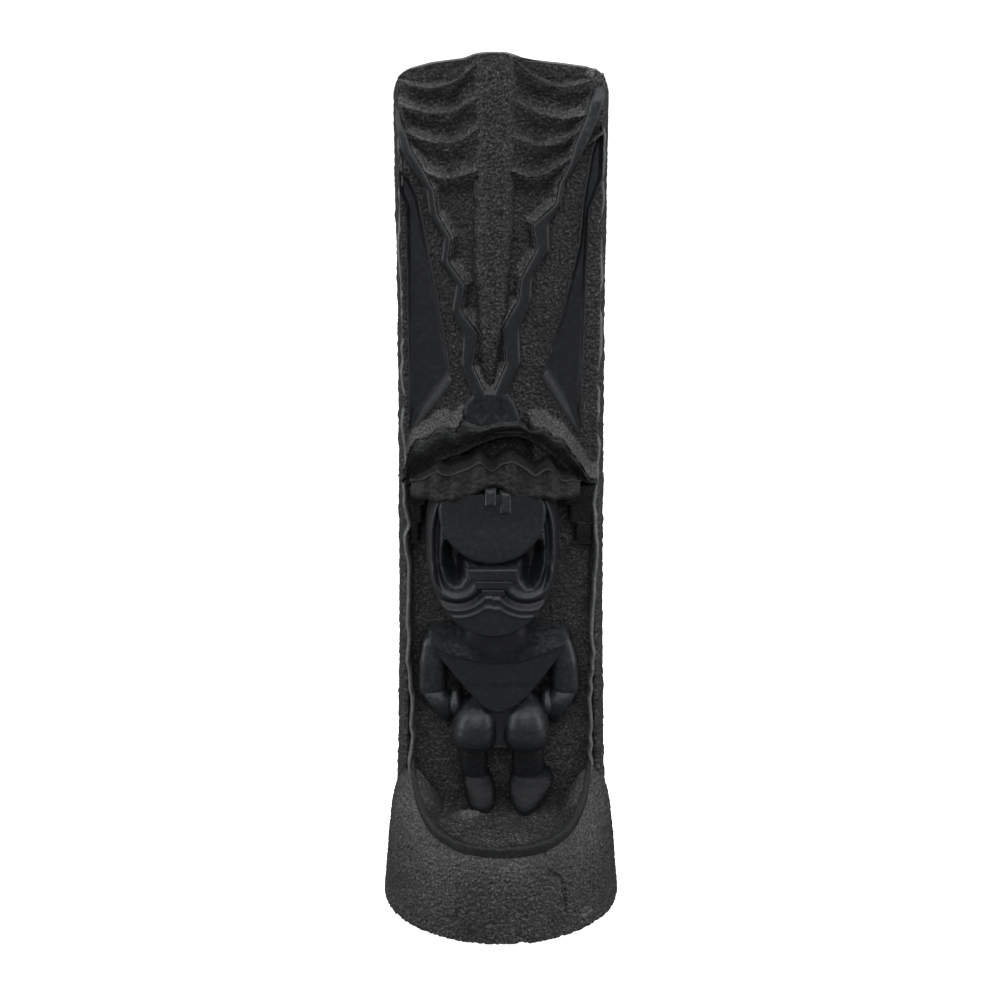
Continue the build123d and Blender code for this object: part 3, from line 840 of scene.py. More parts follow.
    def platform(self) -> None:
        """The rough floor of the niche, dished up to the lip.

        A point a share q of the way out to the rim lies at floor + 0.8 (rim - floor) * smooth(q from 0.84 to 1),
        less up to 0.7 mm of soft swells. One small mound rises beside the left foot.
        """
        at = self.at
        lip = self.lip_path(240)
        back = np.array([(24.0, at.niche_back - 0.4), (-24.0, at.niche_back - 0.4)])
        edge = np.concatenate([lip, np.c_[back, [at.ledge, at.ledge]]])
        along = length_along(edge[:, :2])
        even = np.linspace(0, along[-1], 420, endpoint=False)
        rim = np.stack([np.interp(even, along, edge[:, i]) for i in range(3)], -1)
        walled = smooth(-rim[:, 1], -at.niche_back + 0.8, -2.0)
        rim[:, 2] = np.maximum(rim[:, 2] + (self.lip_height - 0.9) * walled, at.floor - 0.3)
        centre = np.array([0, -6.0, at.floor - 0.3])
        share = np.concatenate([np.linspace(0.02, 0.8, 60), np.linspace(0.81, 0.985, 20)])[::-1, None, None]
        plan = centre + (rim - centre) * share
        plan[..., 2] = centre[2] + (rim[:, 2] - centre[2]) * smooth(share[..., 0], 0.84, 1.0) * 0.8
        plan[..., 2] -= 0.7 * (0.5 + 0.5 * swell(plan, 6.0, 27)) * smooth(share[..., 0], 0.95, 0.8)
        bump = 1 - np.linalg.norm((plan[..., :2] - self.mound) / self.mound_half, axis=-1)
        plan[..., 2] += self.mound_height * smooth(bump + 0.4 * swell(plan, 2.2, 28), 0.0, 0.9)
        up = 0.2 + 0.5 * smooth(bump, 0.0, 0.7) + 0.12 * swell(plan, 3.0, 29)
        top = press(plan, self.rough_floor, self.grain, 23, wrap=True)
        foot = plan[:1] * 1.0
        foot[..., 2] = at.ledge - 0.5
        up = np.concatenate([up[:1], up])
        Palette.dress(drum("niche_floor", np.concatenate([foot, top]), up), PITTED, ("platform",))

    def lip(self) -> None:
        """A smooth rounded band: a superellipse section carried along the lip's path, thinner towards its ends."""
        path = self.lip_path(self.lip_stations)
        ahead = np.gradient(path[:, :2], axis=0)
        ahead /= np.linalg.norm(ahead, axis=1, keepdims=True)
        inward = np.stack([-ahead[:, 1], ahead[:, 0]], -1)
        angle = np.linspace(0, TURN, self.lip_columns, endpoint=False)
        out, up = signed_power(np.cos(angle), 0.5), signed_power(np.sin(angle), 0.5)
        share = np.linspace(0, 1, self.lip_stations)
        taper = follow(share, ((0, 0.55), (0.22, 1.0), (0.78, 1.0), (1, 0.55)), 0.05)[:, None]
        rings = np.repeat(path[:, None, :], self.lip_columns, axis=1)
        rings[..., :2] += inward[:, None, :] * (self.lip_width / 2 * (0.7 + out))[None, :, None] * taper[..., None]
        rings[..., 2] += (self.lip_height / 2 * (1 + up)) * (0.6 + 0.4 * taper) - self.lip_drop
        Palette.dress(drum("platform_lip", hand_work(rings, 0.25, 31, wrap=True)), MATT, ())


# ---- Column ------------------------------------------------------------------------------------


@dataclass
class Column:
    """The column's rough shell, open in front as a niche, and the smooth wavy rims of the niche."""

    at: Datums
    half: Curve = ((27.0, 29.2), (36.0, 28.6), (53.0, 28.2), (83.0, 27.4), (121.0, 26.8), (167.0, 26.2), (230.0, 26.2))
    top: Curve = (  # height of the top edge below the crown, over x
        (-26.2, 10.5), (-25.6, 7.4), (-24.6, 5.2), (-22.6, 3.9), (-17.0, 2.4), (-9.0, 1.4), (-6.2, 0.3), (-3.6, 0.0),
        (1.0, 0.0), (3.4, 0.6), (6.0, 1.7), (14.0, 2.5), (22.4, 3.6), (24.6, 4.9), (25.7, 7.2), (26.2, 10.0),
    )
    fall: float = 0.13  # how much the top falls for each mm to the back
    rim_out: float = 0.8  # from the niche's side out to the middle of the rim
    rim_width: float = 1.3
    rim_foot: float = 11.0  # how far above the ledge a rim starts
    rim_end: float = 14.0  # how far below the crown it stops
    foot: float = 1.0  # how far above the ledge the shell starts, inside the rock
    foot_share: float = 0.95  # share of the base's oval that its foot keeps within
    wave: float = 0.55  # mm, how far a rim wanders
    half_top: float = 26.2  # half the width that the section's shares of x are drawn for
    rough: float = 0.42  # mm, how deep the shell's valleys are
    grain: float = 0.85  # mm across a grain
    rows: int = 290
    section_points: int = 171
    rim_rows: int = 420
    rim_columns: int = 24

    def top_edge(self, x: Array) -> Array:
        """Height of the top edge in front at x."""
        return self.at.crown - follow(x, self.top, 0.9)

    def width(self, z: Array) -> Array:
        """Half the column's width at height z."""
        return follow(z, self.half, 4.0)

    def build(self) -> None:
        """Make the shell and both rims."""
        self.shell()
        for side in Side:
            self.rim(side)

    def shell(self) -> None:
        """Rings in the form of a thick letter C, open to the front, from the rock to the top edge.

        A ring is a section in (share of the half width, y) times the half width at its height. Near the rock it
        is drawn in where it would pass 0.95 of the base's oval.
        """
        at = self.at
        half = np.array(
            [
                (0.0, at.back), (0.60, at.back), (0.74, at.back - 0.8), (0.86, at.back - 2.9), (0.945, at.back - 6.2),
                (0.985, at.back - 9.6), (1.0, 13.0), (0.998, 9.0), (0.988, 6.2), (0.968, 4.4), (0.935, 3.4),
                (0.915, 3.4), (0.895, 5.0), (0.885, 7.2), (0.86, 8.0), (0.0, 8.0),
            ]
        )
        along = length_along(half * (26.5, 1))
        even = np.linspace(0, along[-1], self.section_points)
        right = np.stack([follow(even, tuple(zip(along, half[:, i])), 0.5) for i in range(2)], -1)
        section = np.concatenate([right, right[-2:0:-1] * (-1, 1)])
        rise = np.linspace(0, 1, self.rows)[:, None]
        low = at.ledge + self.foot
        x = section[:, 0] * self.half_top
        high = self.top_edge(x) - self.fall * (section[:, 1] - at.rim_front)
        z = low + (high - low) * rise
        rings = np.stack([section[:, 0] * self.width(z), np.broadcast_to(section[:, 1], z.shape), z], -1)
        reach = np.hypot(rings[..., 0] / at.base_half, rings[..., 1] / at.base_depth)
        over = 1 - np.minimum(1, self.foot_share / np.maximum(reach, 0.1))
        rings[..., :2] *= (1 - over * smooth(z, low + 18, low + 3))[..., None]
        # up: dust and painted top light, plus painted light on the niche's back and inner walls against the shade under
        # the headbands.
        up = 0.06 + 0.5 * grid_normals(rings, True)[..., 2]
        up += 0.36 * ((section[:, 1] > 4.0) & (section[:, 1] < 8.6) & (np.abs(section[:, 0]) < 0.91))
        rings = press(rings, self.rough, self.grain, 41, wrap=True)
        Palette.dress(drum("column_shell", rings, up), PITTED, ("column_back",))

    def rim(self, side: Side) -> None:
        """A smooth upright rib on the niche's edge whose x wanders by the wave.

        Args:
            side: the viewer's left or right.
        """
        at = self.at
        high = at.crown - self.rim_end
        z = np.linspace(at.ledge + self.rim_foot, high, self.rim_rows)
        seed = 50 + side.value
        line = np.stack([0 * z, 0 * z, z], -1)
        x = at.niche_half + self.rim_out + self.wave * swell(line, 6.5, seed)
        x += 0.5 * self.wave * swell(line, 2.8, seed + 7)
        angle = np.linspace(0, TURN, self.rim_columns, endpoint=False)
        wide = self.rim_width / 2 * (1 - 0.25 * smooth(z, at.niche, high))
        deep = (at.niche_back - at.rim_front) / 2
        across = side.value * (x[:, None] + wide[:, None] * np.cos(angle))
        y = at.rim_front + deep - 0.8 + deep * signed_power(np.sin(angle), 0.7) + 0 * across
        rings = np.stack([across, y, z[:, None] + 0 * across], -1)
        # The rim is dressed in a painted highlight: its pale colour stands in for the line of light along the niche's
        # edge.
        Palette.dress(drum(f"{side.word}_niche_rim", rings), PAINTED_RIM_HIGHLIGHT, (f"{side.word}_niche_wall",))


# ---- Headdress ---------------------------------------------------------------------------------


@dataclass
class Headdress:
    """The tall panel over the niche: rough ground, midrib, scooped feathers, zigzag borders and daggers.

    Heights in the tables are mm above the top of the niche.
    """

    at: Datums
    column: Column
    ground: float = 0.9  # y of the rough ground
    proud: float = -1.0  # y of borders and ledges
    scoop: float = 1.5  # y at the back of a scoop
    bevel: float = 2.1  # mm over which a border's inner edge slopes down into the scoops
    rib: Curve = (  # height, half width
        (24.0, 0.8), (28.0, 2.2), (37.0, 3.6), (47.0, 4.6), (57.0, 5.0), (72.0, 5.1), (84.0, 5.3), (110.0, 6.0),
    )
    rib_axis: Curve = ((24.0, -2.9), (37.0, -2.7), (47.0, -2.1), (57.0, -2.2), (72.0, -1.5), (110.0, -1.2))
    ledges: dict[Side, tuple[Curve, ...]] = field(
        default_factory=lambda: {
            Side.LEFT: (
                ((-26.0, 101.5), (-23.4, 99.6), (-17.0, 98.3), (-11.0, 99.8), (-7.9, 102.6), (0.0, 108.0)),
                ((-26.0, 95.5), (-22.0, 93.8), (-15.9, 92.5), (-11.1, 93.2), (-7.4, 95.4), (0.0, 100.0)),
                ((-26.0, 90.5), (-22.5, 88.1), (-19.6, 86.5), (-14.8, 85.6), (-9.9, 86.1), (-7.0, 88.2), (0.0, 93.0)),
                ((-26.0, 86.0), (-21.0, 81.5), (-18.5, 78.6), (-13.7, 77.2), (-7.1, 78.6), (0.0, 82.0)),
            ),
            Side.RIGHT: (
                ((-2.0, 109.0), (5.0, 103.8), (8.1, 100.8), (14.1, 98.6), (20.1, 99.8), (26.0, 102.5)),
                ((-2.0, 99.0), (5.0, 94.8), (8.2, 93.1), (14.2, 91.4), (21.4, 92.4), (26.0, 95.0)),
                ((-2.0, 89.5), (5.1, 86.2), (9.4, 84.7), (14.3, 85.6), (19.0, 88.5), (26.0, 93.0)),
                ((-2.0, 80.5), (4.6, 78.4), (8.3, 77.3), (11.9, 78.9), (18.0, 83.0), (26.0, 89.0)),
            ),
        }
    )
    border: dict[Side, Triples] = field(  # height, outer x, inner x
        default_factory=lambda: {
            Side.LEFT: (
                (18.0, -9.0, -4.6), (22.5, -7.4, -3.4), (30.3, -10.2, -6.9), (38.3, -9.7, -5.2), (44.5, -12.5, -9.8),
                (50.9, -11.4, -8.7), (56.9, -15.1, -12.9), (62.6, -14.2, -12.1), (68.6, -17.9, -15.4),
                (74.4, -18.4, -16.2), (79.0, -21.6, -18.6), (84.0, -24.3, -21.6), (90.0, -25.6, -23.4),
                (94.0, -25.8, -23.8),
            ),
            Side.RIGHT: (
                (18.0, 3.4, -0.8), (22.5, 1.4, -2.2), (31.0, 5.1, 1.2), (39.5, 4.8, -0.2), (47.4, 7.7, 4.2),
                (53.0, 8.0, 4.9), (59.7, 12.1, 8.6), (66.0, 12.0, 7.6), (71.0, 14.9, 13.2), (76.0, 15.8, 14.1),
                (81.0, 18.9, 16.6), (86.0, 21.4, 18.0), (91.2, 23.6, 20.2), (97.0, 25.3, 21.8), (101.0, 25.3, 21.8),
            ),
        }
    )
    daggers: dict[Side, Curve] = field(
        default_factory=lambda: {
            Side.LEFT: (
                (-23.6, 11.0), (-12.4, 25.6), (-15.9, 48.0), (-20.2, 72.0), (-22.2, 76.5), (-24.9, 79.0), (-24.9, 73.5),
                (-23.4, 70.0),
            ),
            Side.RIGHT: (
                (20.4, 11.0), (10.4, 26.8), (15.1, 43.0), (19.2, 60.5), (20.0, 71.0), (21.6, 82.0), (24.2, 91.5),
                (24.9, 86.0), (24.8, 77.0), (21.8, 69.0),
            ),
        }
    )
    dagger_depth: float = 2.2  # y of a dagger's floor
    band_front: float = -3.2  # y of the ground where it meets the upper headband's top
    knot: Triples = (  # height, left x, right x
        (12.6, -10.8, 6.6), (16.1, -9.7, 4.9), (20.1, -9.2, 3.6), (23.5, -6.6, 1.4), (25.4, -4.6, -0.8),
    )
    open_field: tuple[float, float] = (24.0, 76.0)  # heights between which the ground inside the borders is painted paler: dust, and painted light on its bevels
    rough: float = 0.42  # mm, how deep the ground's valleys are
    rough_rib: float = 0.5
    rough_scoop: float = 0.36
    grain: float = 0.85  # mm across a grain
    grain_rib: float = 0.68
    spacing: float = 0.36  # mm between grid lines

    def build(self) -> None:
        """Make the ground first and then everything that stands on it."""
        self.make_ground()
        self.make_rib()
        for side in Side:
            self.make_feathers(side)
            self.make_border(side)
            self.make_dagger(side)
        self.make_knot()

    def inner_line(self, side: Side) -> Curve:
        """The border's inner edge as (x, height) corners from the bottom up."""
        return tuple((inner, height) for height, _, inner in self.border[side])

    def make_ground(self) -> None:
        """Rough ground between the borders, the daggers and the headband.

        It lies at the ground's y, and inside the borders at the scoop's y, from which it comes forward to the
        ledges' y along every border's inner edge over the bevel's width and below the last ledges. It slopes
        forward to the upper headband's top, drops back behind the band, and is sunk behind the daggers.
        """
        at = self.at
        half = at.niche_half + 0.9
        x = np.linspace(-half, half, round(2 * half / self.spacing))
        low = at.niche - 0.5
        high = self.column.top_edge(x) - 0.3
        z = spread(low * np.ones_like(x), high, round((at.crown - low) / self.spacing)).T
        x = np.broadcast_to(x, z.shape)
        up = z - at.niche
        y = np.full(z.shape, self.ground)
        within = x > np.interp(up, *self.columns_of(Side.LEFT, 2)) - 0.7
        within &= x < np.interp(up, *self.columns_of(Side.RIGHT, 2)) + 0.7
        field_y = np.full(z.shape, self.scoop)
        for side in Side:
            near = edge_distance(x, up, self.inner_line(side), closed=False)
            field_y = np.minimum(field_y, self.proud + (self.scoop - self.proud) * smooth(near, -0.3, self.bevel))
            last = follow(x, self.ledges[side][-1], 0.6)
            mine = (x * side.value) > (self.rib_axis[-1][1] * side.value)
            under = self.proud + (self.scoop - self.proud) * smooth(last - up, 0.0, 5.5)
            field_y = np.where(mine & (up < last), np.minimum(field_y, under), field_y)
        y = np.where(within & (up > 22), field_y, y)
        for side in Side:
            inside = edge_distance(x, up, self.daggers[side])
            y += (self.dagger_depth + 1.2 - self.ground) * smooth(inside, 0.5, 1.4)
        band = follow(x, Headbands.UPPER, 1.0)
        y += (self.band_front - self.ground) * smooth(band - up, -4.2, -0.2) * smooth(np.abs(x + 1), 7.0, 10.0)
        y += 6 * smooth(band - up, 0.6, 2.2) * (up > 0)
        y += 8 * smooth(up, 1.0, -0.2)
        y = np.minimum(y, at.niche_back - 1.0)
        smooth_grid = np.stack([x, y, z], -1)
        # level: dust and painted top light on what faces up, raised inside the borders where the bevels are painted
        # lit.
        level = 0.06 + 0.62 * smooth(grid_normals(smooth_grid, False)[..., 2], 0.08, 0.5)
        dust_and_light_field = within & (up > self.open_field[0]) & (up < self.open_field[1])
        level = np.where(dust_and_light_field, 1.9 * level + 0.08, level)
        front = press(smooth_grid, self.rough, self.grain, 61)
        Palette.dress(plate("headdress_field", front, at.niche_back, level), PITTED, ("headdress_ground",))

    def columns_of(self, side: Side, column: int) -> tuple[list[float], list[float]]:
        """Split a border's table for np.interp.

        Args:
            side: which border.
            column: 1 for its outer edge, 2 for its inner edge.

        Returns:
            The heights, and that edge's x at each.
        """
        table = self.border[side]
        return [row[0] for row in table], [row[column] for row in table]

    def make_rib(self) -> None:
        """The granular rib, tapering to a point below.

        y = -0.4, less 1.5 from 2.8 mm inside its edges (less so near the tip), plus 1.4 where its edges roll back.
        """
        at = self.at
        up = np.linspace(self.rib[0][0], at.crown - at.niche, 420)[:, None]
        axis, half = follow(up, self.rib_axis, 2.0), follow(up, self.rib, 2.0)
        across = np.linspace(-1, 1, 42)[None, :]
        x = axis + half * across
        z = np.minimum(up + at.niche, self.column.top_edge(x) - 0.05 - 0.4 * across**2)
        crest = smooth(up, at.crown - at.niche - 4.0, at.crown - at.niche)
        tip = smooth(up, self.rib[0][0], self.rib[0][0] + 14)
        x = x + 0.5 * np.abs(across) ** 3 * swell(np.stack([9 * np.sign(x), 0 * x, up + 0 * x], -1), 2.6, 73)
        near = (1 - np.abs(across)) * half
        y = -0.4 - 1.5 * tip * smooth(near, 0.0, 2.8) + 0.5 * crest**2 + 1.4 * (1 - roll(near, 1.6))
        smooth_grid = np.stack([x, y + 0 * x, z], -1)
        front = press(smooth_grid, self.rough_rib, self.grain_rib, 71)
        level = FACING * np.clip(grid_normals(smooth_grid, False)[..., 2], 0, 1)
        Palette.dress(plate("granular_midrib", front, at.rim_front + 1.0, level), PITTED, ("midrib",))

    def make_feathers(self, side: Side) -> None:
        """Four scoops on one side, each from one ledge's crest down to the next.

        With t from 0 at the upper crest to 1 at the lower, y falls from the ledges' y back to the scoop's y
        by t = 0.7 and comes forward again from t = 0.84 at the midrib and from 0.6 at the border. The first has
        the column's top edge above it and is hollow from the start.

        Args:
            side: the viewer's left or right.
        """
        at = self.at
        inner = self.rib_axis[-1][1] + side.value * 3.2
        outer = side.value * (at.niche_half + 0.6)
        x = np.linspace(min(inner, outer), max(inner, outer), round(abs(outer - inner) / self.spacing))
        crests = [self.column.top_edge(x) - at.niche - 0.2] + [follow(x, ledge, 1.8) for ledge in self.ledges[side]]
        uneven = 0.5 * swell(np.stack([x, 0 * x, 0 * x], -1), 3.1, 77 + side.value)
        for number, (upper, lower) in enumerate(zip(crests, crests[1:]), 1):
            t = np.linspace(1, 0, 34)[:, None]
            up = upper + (lower - upper) * t
            up = up + uneven * (1 - smooth(np.abs(t - 0.5), 0.2, 0.5)) if number > 1 else up
            first = number == 1
            back = self.scoop + (2.6 * (1 - t) if first else 0)
            depth = np.ones_like(t) if first else smooth(t, -0.05, 0.7)
            out = np.abs(x - inner) / abs(outer - inner)
            y = self.proud + (back - self.proud) * depth * (1 - smooth(t, 0.84 - 0.24 * smooth(out, 0.3, 1.0), 1.03))
            ends = smooth(np.abs(x - inner), 0, 6.5) * 0.5 + 0.5
            y = self.proud + (y - self.proud) * ends
            grid = np.stack([np.broadcast_to(x, up.shape), y + 0 * x, up + at.niche], -1)
            # Dust and painted top light on the ledges, the painted light growing towards each ledge's outer end and
            # near the outer top corner.
            dust = 0.36 if first else 0.34 + 0.6 * smooth(out, 0.35, 0.95)
            level = dust * smooth(grid_normals(grid, False)[..., 2], 0.15, 0.75)
            level = level + 0.22 + 0.5 * smooth(out, 0.8, 1.0) * smooth(up, 84.0, 92.0)
            rough = press(grid, self.rough_scoop, self.grain, 80 + number)
            scoop = plate(f"{side.word}_feather_scoop_{number}", rough, self.ground + 2.6, level)
            Palette.dress(scoop, PITTED, (f"{side.word}_feather_{number}",))

    def make_border(self, side: Side) -> None:
        """One smooth zigzag border between its outer and inner edges.

        y = -0.3, less 1.1 where it isn't within 1.3 mm of an edge, going back over its last 6 mm at the top and
        under the knot at its foot.

        Args:
            side: the viewer's left or right.
        """
        at = self.at
        table = self.border[side]
        up = np.linspace(table[0][0], table[-1][0], 330)[:, None]
        outer = follow(up, tuple((row[0], row[1]) for row in table), 0.5)
        inner = follow(up, tuple((row[0], row[2]) for row in table), 0.5)
        left, right = np.minimum(outer, inner), np.maximum(outer, inner)
        across = spread(np.array(0.0), np.array(1.0), 22, 0.6)[None, :]
        x = left + (right - left) * across
        near = np.minimum(across, 1 - across) * (right - left)
        end = table[-1][0]
        y = self.proud + 0.7 - 1.1 * roll(near, 1.3) + 2.4 * smooth(up, end - 6.0, end) + smooth(up, 22.0, 18.0)
        z = np.minimum(up + at.niche + 0 * x, self.column.top_edge(x) - 0.2)
        front = hand_work(np.stack([x, y, z], -1), 0.2, 91)
        pale = 0.03 + 0.5 * smooth(up + 0 * x, 76.0, 92.0)
        border = plate(f"{side.word}_zigzag", front, self.ground + 2.0, pale)
        Palette.dress(border, POLISHED, (f"{side.word}_zigzag_border",))

    def make_dagger(self, side: Side) -> None:
        """A smooth sunken panel whose edges slope up to the ground: narrow at its sides, wide along its foot.

        Args:
            side: the viewer's left or right.
        """
        at = self.at
        outline = np.array(self.daggers[side])
        heights = np.linspace(outline[:, 1].min() + 0.3, outline[:, 1].max(), 220)
        ends = []
        for height in heights:
            crossings = [
                x0 + (x1 - x0) * (height - z0) / (z1 - z0)
                for (x0, z0), (x1, z1) in zip(outline, np.roll(outline, -1, axis=0))
                if z0 != z1 and min(z0, z1) <= height <= max(z0, z1)
            ]
            ends.append((min(crossings), max(crossings)))
        left, right = np.array(ends).T
        x = spread(left, right, 40, 0.5)
        up = np.broadcast_to(heights[:, None], x.shape)
        inside = np.clip(edge_distance(x, up, self.daggers[side]), 0, None)
        foot = edge_distance(x, up, tuple(self.daggers[side][:2]), closed=False)
        shelf = np.minimum(smooth(inside, 0.0, 1.2), smooth(foot, 0.0, 3.0))
        y = self.ground - 0.3 + (self.dagger_depth - self.ground) * shelf
        front = hand_work(np.stack([x, y, up + at.niche], -1), 0.15, 101)
        panel = plate(f"{side.word}_sunk_dagger", front, at.niche_back - 0.5)
        Palette.dress(panel, POLISHED, (f"{side.word}_dagger_panel",))

    def make_knot(self) -> None:
        """The smooth spread foot where the borders cross, with two small dips and a shallow line down the middle."""
        at = self.at
        up = np.linspace(self.knot[0][0], self.knot[-1][0], 60)[:, None]
        left = follow(up, tuple((row[0], row[1]) for row in self.knot), 0.4)
        right = follow(up, tuple((row[0], row[2]) for row in self.knot), 0.4)
        x = spread(left[:, 0], right[:, 0], 60, 0.3)
        near = np.minimum(x - left, right - x)
        y = self.proud + 0.5 - 0.7 * roll(near, 1.4) + 1.4 * smooth(up, 22.6, 25.4)
        for centre in (-5.0, 0.0):
            y += 0.3 * smooth(2.0 - np.abs(x - centre) - 0.6 * np.abs(up - 17.6), 0.0, 1.2)
        y += 0.12 * (1 - smooth(np.abs(x + 2.4), 0.1, 0.6)) * smooth(up, 21.0, 17.0)
        front = hand_work(np.stack([x, y, up + at.niche + 0 * x], -1), 0.2, 105)
        Palette.dress(plate("crossed_border_foot", front, self.ground + 1.0), POLISHED, ("border_knot",))


# ---- Headbands and hair ------------------------------------------------------------------------


@dataclass
class Headbands:
    """Two toothed bands over the head and the stepped locks beside it; heights above the top of the niche."""

    at: Datums
    UPPER: ClassVar[Curve] = (  # the upper band's toothed top edge
        (-25.2, 0.8), (-24.5, 5.6), (-22.6, 11.4), (-18.8, 11.8), (-16.8, 14.2), (-14.2, 14.8), (-11.7, 13.6),
        (-9.9, 16.6), (-5.3, 14.9), (-2.3, 15.8), (4.8, 16.4), (7.4, 14.3), (11.2, 14.8), (13.7, 11.9), (16.3, 11.6),
        (18.1, 7.8), (20.2, 5.8), (22.9, 0.6), (25.0, 0.0),
    )
    upper_foot: Curve = (
        (-25.2, -3.0), (-21.0, 0.6), (-16.0, 4.8), (-10.0, 7.0), (-5.0, 9.6), (0.0, 11.2), (5.0, 11.4), (10.0, 9.0),
        (14.0, 6.0), (19.0, 0.5), (25.0, -3.0),
    )
    lower_top: Curve = (
        (-23.4, 1.9), (-21.1, 2.8), (-18.6, 4.0), (-16.2, 6.3), (-13.8, 4.6), (-11.7, 5.6), (-8.4, 6.4), (-5.3, 8.9),
        (-2.3, 5.7), (-0.2, 7.6), (2.8, 8.9), (5.6, 7.2), (8.6, 4.9), (12.4, 6.8), (14.0, 5.0), (15.5, 2.8),
        (18.4, 2.8), (20.6, 1.2),
    )
    lower_foot: Curve = (
        (-23.4, -2.6), (-15.5, -2.9), (-9.2, -2.0), (-4.8, 0.7), (-1.0, 1.3), (2.3, -0.6), (4.8, -2.0), (9.9, -1.5),
        (15.0, -2.8), (20.6, -2.6),
    )
    folds: tuple[float, ...] = (-20.5, -15.9, -11.4, -5.4, 2.4, 8.9, 12.8, 17.5)  # x of the pleats' crests
    upper_front: float = -4.2  # y of the upper band's face near its top edge
    upper_slope: float = 4.0  # how far that face leans back from there to its foot
    lower_front: float = -13.2  # y of the lower band's crests
    lower_face: float = 0.72  # share of the lower band's rows on its face; the rest run back over its top
    lock_steps: tuple[float, ...] = (-2.4, -8.0, -13.2, -18.6)  # heights between a lock's steps
    lock_width: dict[Side, float] = field(default_factory=lambda: {Side.LEFT: 5.2, Side.RIGHT: 8.4})

    def build(self) -> None:
        """Make the bands and the locks."""
        self.upper()
        self.lower()
        for side in Side:
            self.lock(side)

    def upper(self) -> None:
        """The upper band: a face from y = -0.2 at its foot to -4.2 near its toothed edge, which rolls over 0.8 mm."""
        at = self.at
        x = np.linspace(self.UPPER[0][0] + 0.1, self.UPPER[-1][0] - 0.1, 240)
        top, foot = follow(x, self.UPPER, 0.2), follow(x, self.upper_foot, 1.5)
        t = spread(np.array(0.0), np.array(1.0), 46, 0.5)[:, None]
        up = foot + (top - foot) * t
        y = self.upper_front + self.upper_slope * (1 - smooth(t, 0.0, 0.8))
        y = y + 1.0 * (1 - roll((1 - t) * (top - foot), 0.8))
        y = y + 1.6 * smooth(np.abs(x), 19.0, 25.0)
        front = hand_work(np.stack([np.broadcast_to(x, up.shape), y + 0 * x, up + at.niche], -1), 0.6, 111)
        front = press(front, 0.22, 1.2, 112)
        level = 0.7 + 0 * front[..., 0]
        Palette.dress(plate("toothed_band", front, at.rim_front + 3.0, level), MATT, ("upper_headband",))

    def lower(self) -> None:
        """The lower band: a pleated face under a scalloped edge, then a top that runs back to the column.

        On the face y is the front's y, plus 0.9 between the pleats' crests, 0.8 up the face, 2.2 where its foot
        rolls back, and a curve back towards its ends.
        """
        at = self.at
        x = np.linspace(self.lower_top[0][0] + 0.1, self.lower_top[-1][0] - 0.1, 260)
        top, foot = follow(x, self.lower_top, 0.7), follow(x, self.lower_foot, 0.7)
        t = spread(np.array(0.0), np.array(1.0), 60, 0.4)[:, None]
        share = np.minimum(t / self.lower_face, 1)
        face = foot + (top - foot) * share
        pleat = np.min(np.abs(x[:, None] - np.array(self.folds)), axis=1)
        fall = smooth(t, self.lower_face, 1.0)
        y = self.lower_front + 0.9 * smooth(pleat, 0.2, 2.6) + 0.8 * smooth(t, 0.1, self.lower_face)
        y = y + 2.2 * (1 - roll(t * (top - foot) * 1.4, 1.4))
        y = y + 0.035 * np.maximum(np.abs(x + 2) - 10, 0) ** 2
        y = y + 0.35 * swell(np.stack([x + 0 * t, 0 * x + t, face], -1), 3.4, 125)
        y = y + (at.rim_front - 0.5 - y) * fall
        up = face - 0.4 * fall + 0.9 * roll(share * (top - foot), 1.5) - 0.9
        grid = np.stack([np.broadcast_to(x, up.shape), y, up + at.niche], -1)
        front = press(hand_work(grid, 0.7, 121), 0.3, 1.2, 122)
        Palette.dress(plate("pleated_band", front, at.rim_front + 1.0), MATT, ("lower_headband",))

    def lock(self, side: Side) -> None:
        """A lock of hair cut in square steps against the rim, each step narrower than the one above.

        Args:
            side: the viewer's left or right.
        """
        at = self.at
        up = np.linspace(self.lock_steps[0], self.lock_steps[-1], 70)[::-1, None]
        count = len(self.lock_steps) - 1
        step = np.interp(up, self.lock_steps[::-1], np.arange(count, -1, -1))
        tier = np.clip(np.floor(step), 0, count - 1)
        lap = np.mod(step, 1.0)
        wide = self.lock_width[side] * (1 - 0.8 * tier / (count + 1))
        across = np.linspace(0, 1, 24)[None, :]
        x = (at.niche_half + 0.4 - wide * across) * side.value
        y = 3.4 - 2.6 * roll(across * wide, 0.8) * roll((1 - across) * wide, 1.0) + 0.7 * tier + 1.4 * lap
        grid = np.stack([x, y, up + at.niche + 0 * x], -1)
        grid = grid[:, ::-1] if side is Side.RIGHT else grid
        front = press(grid, 0.2, 1.1, 131)
        Palette.dress(plate(f"{side.word}_stepped_lock", front, at.niche_back), MATT, (f"{side.word}_hair_lock",))


# ---- Head --------------------------------------------------------------------------------------


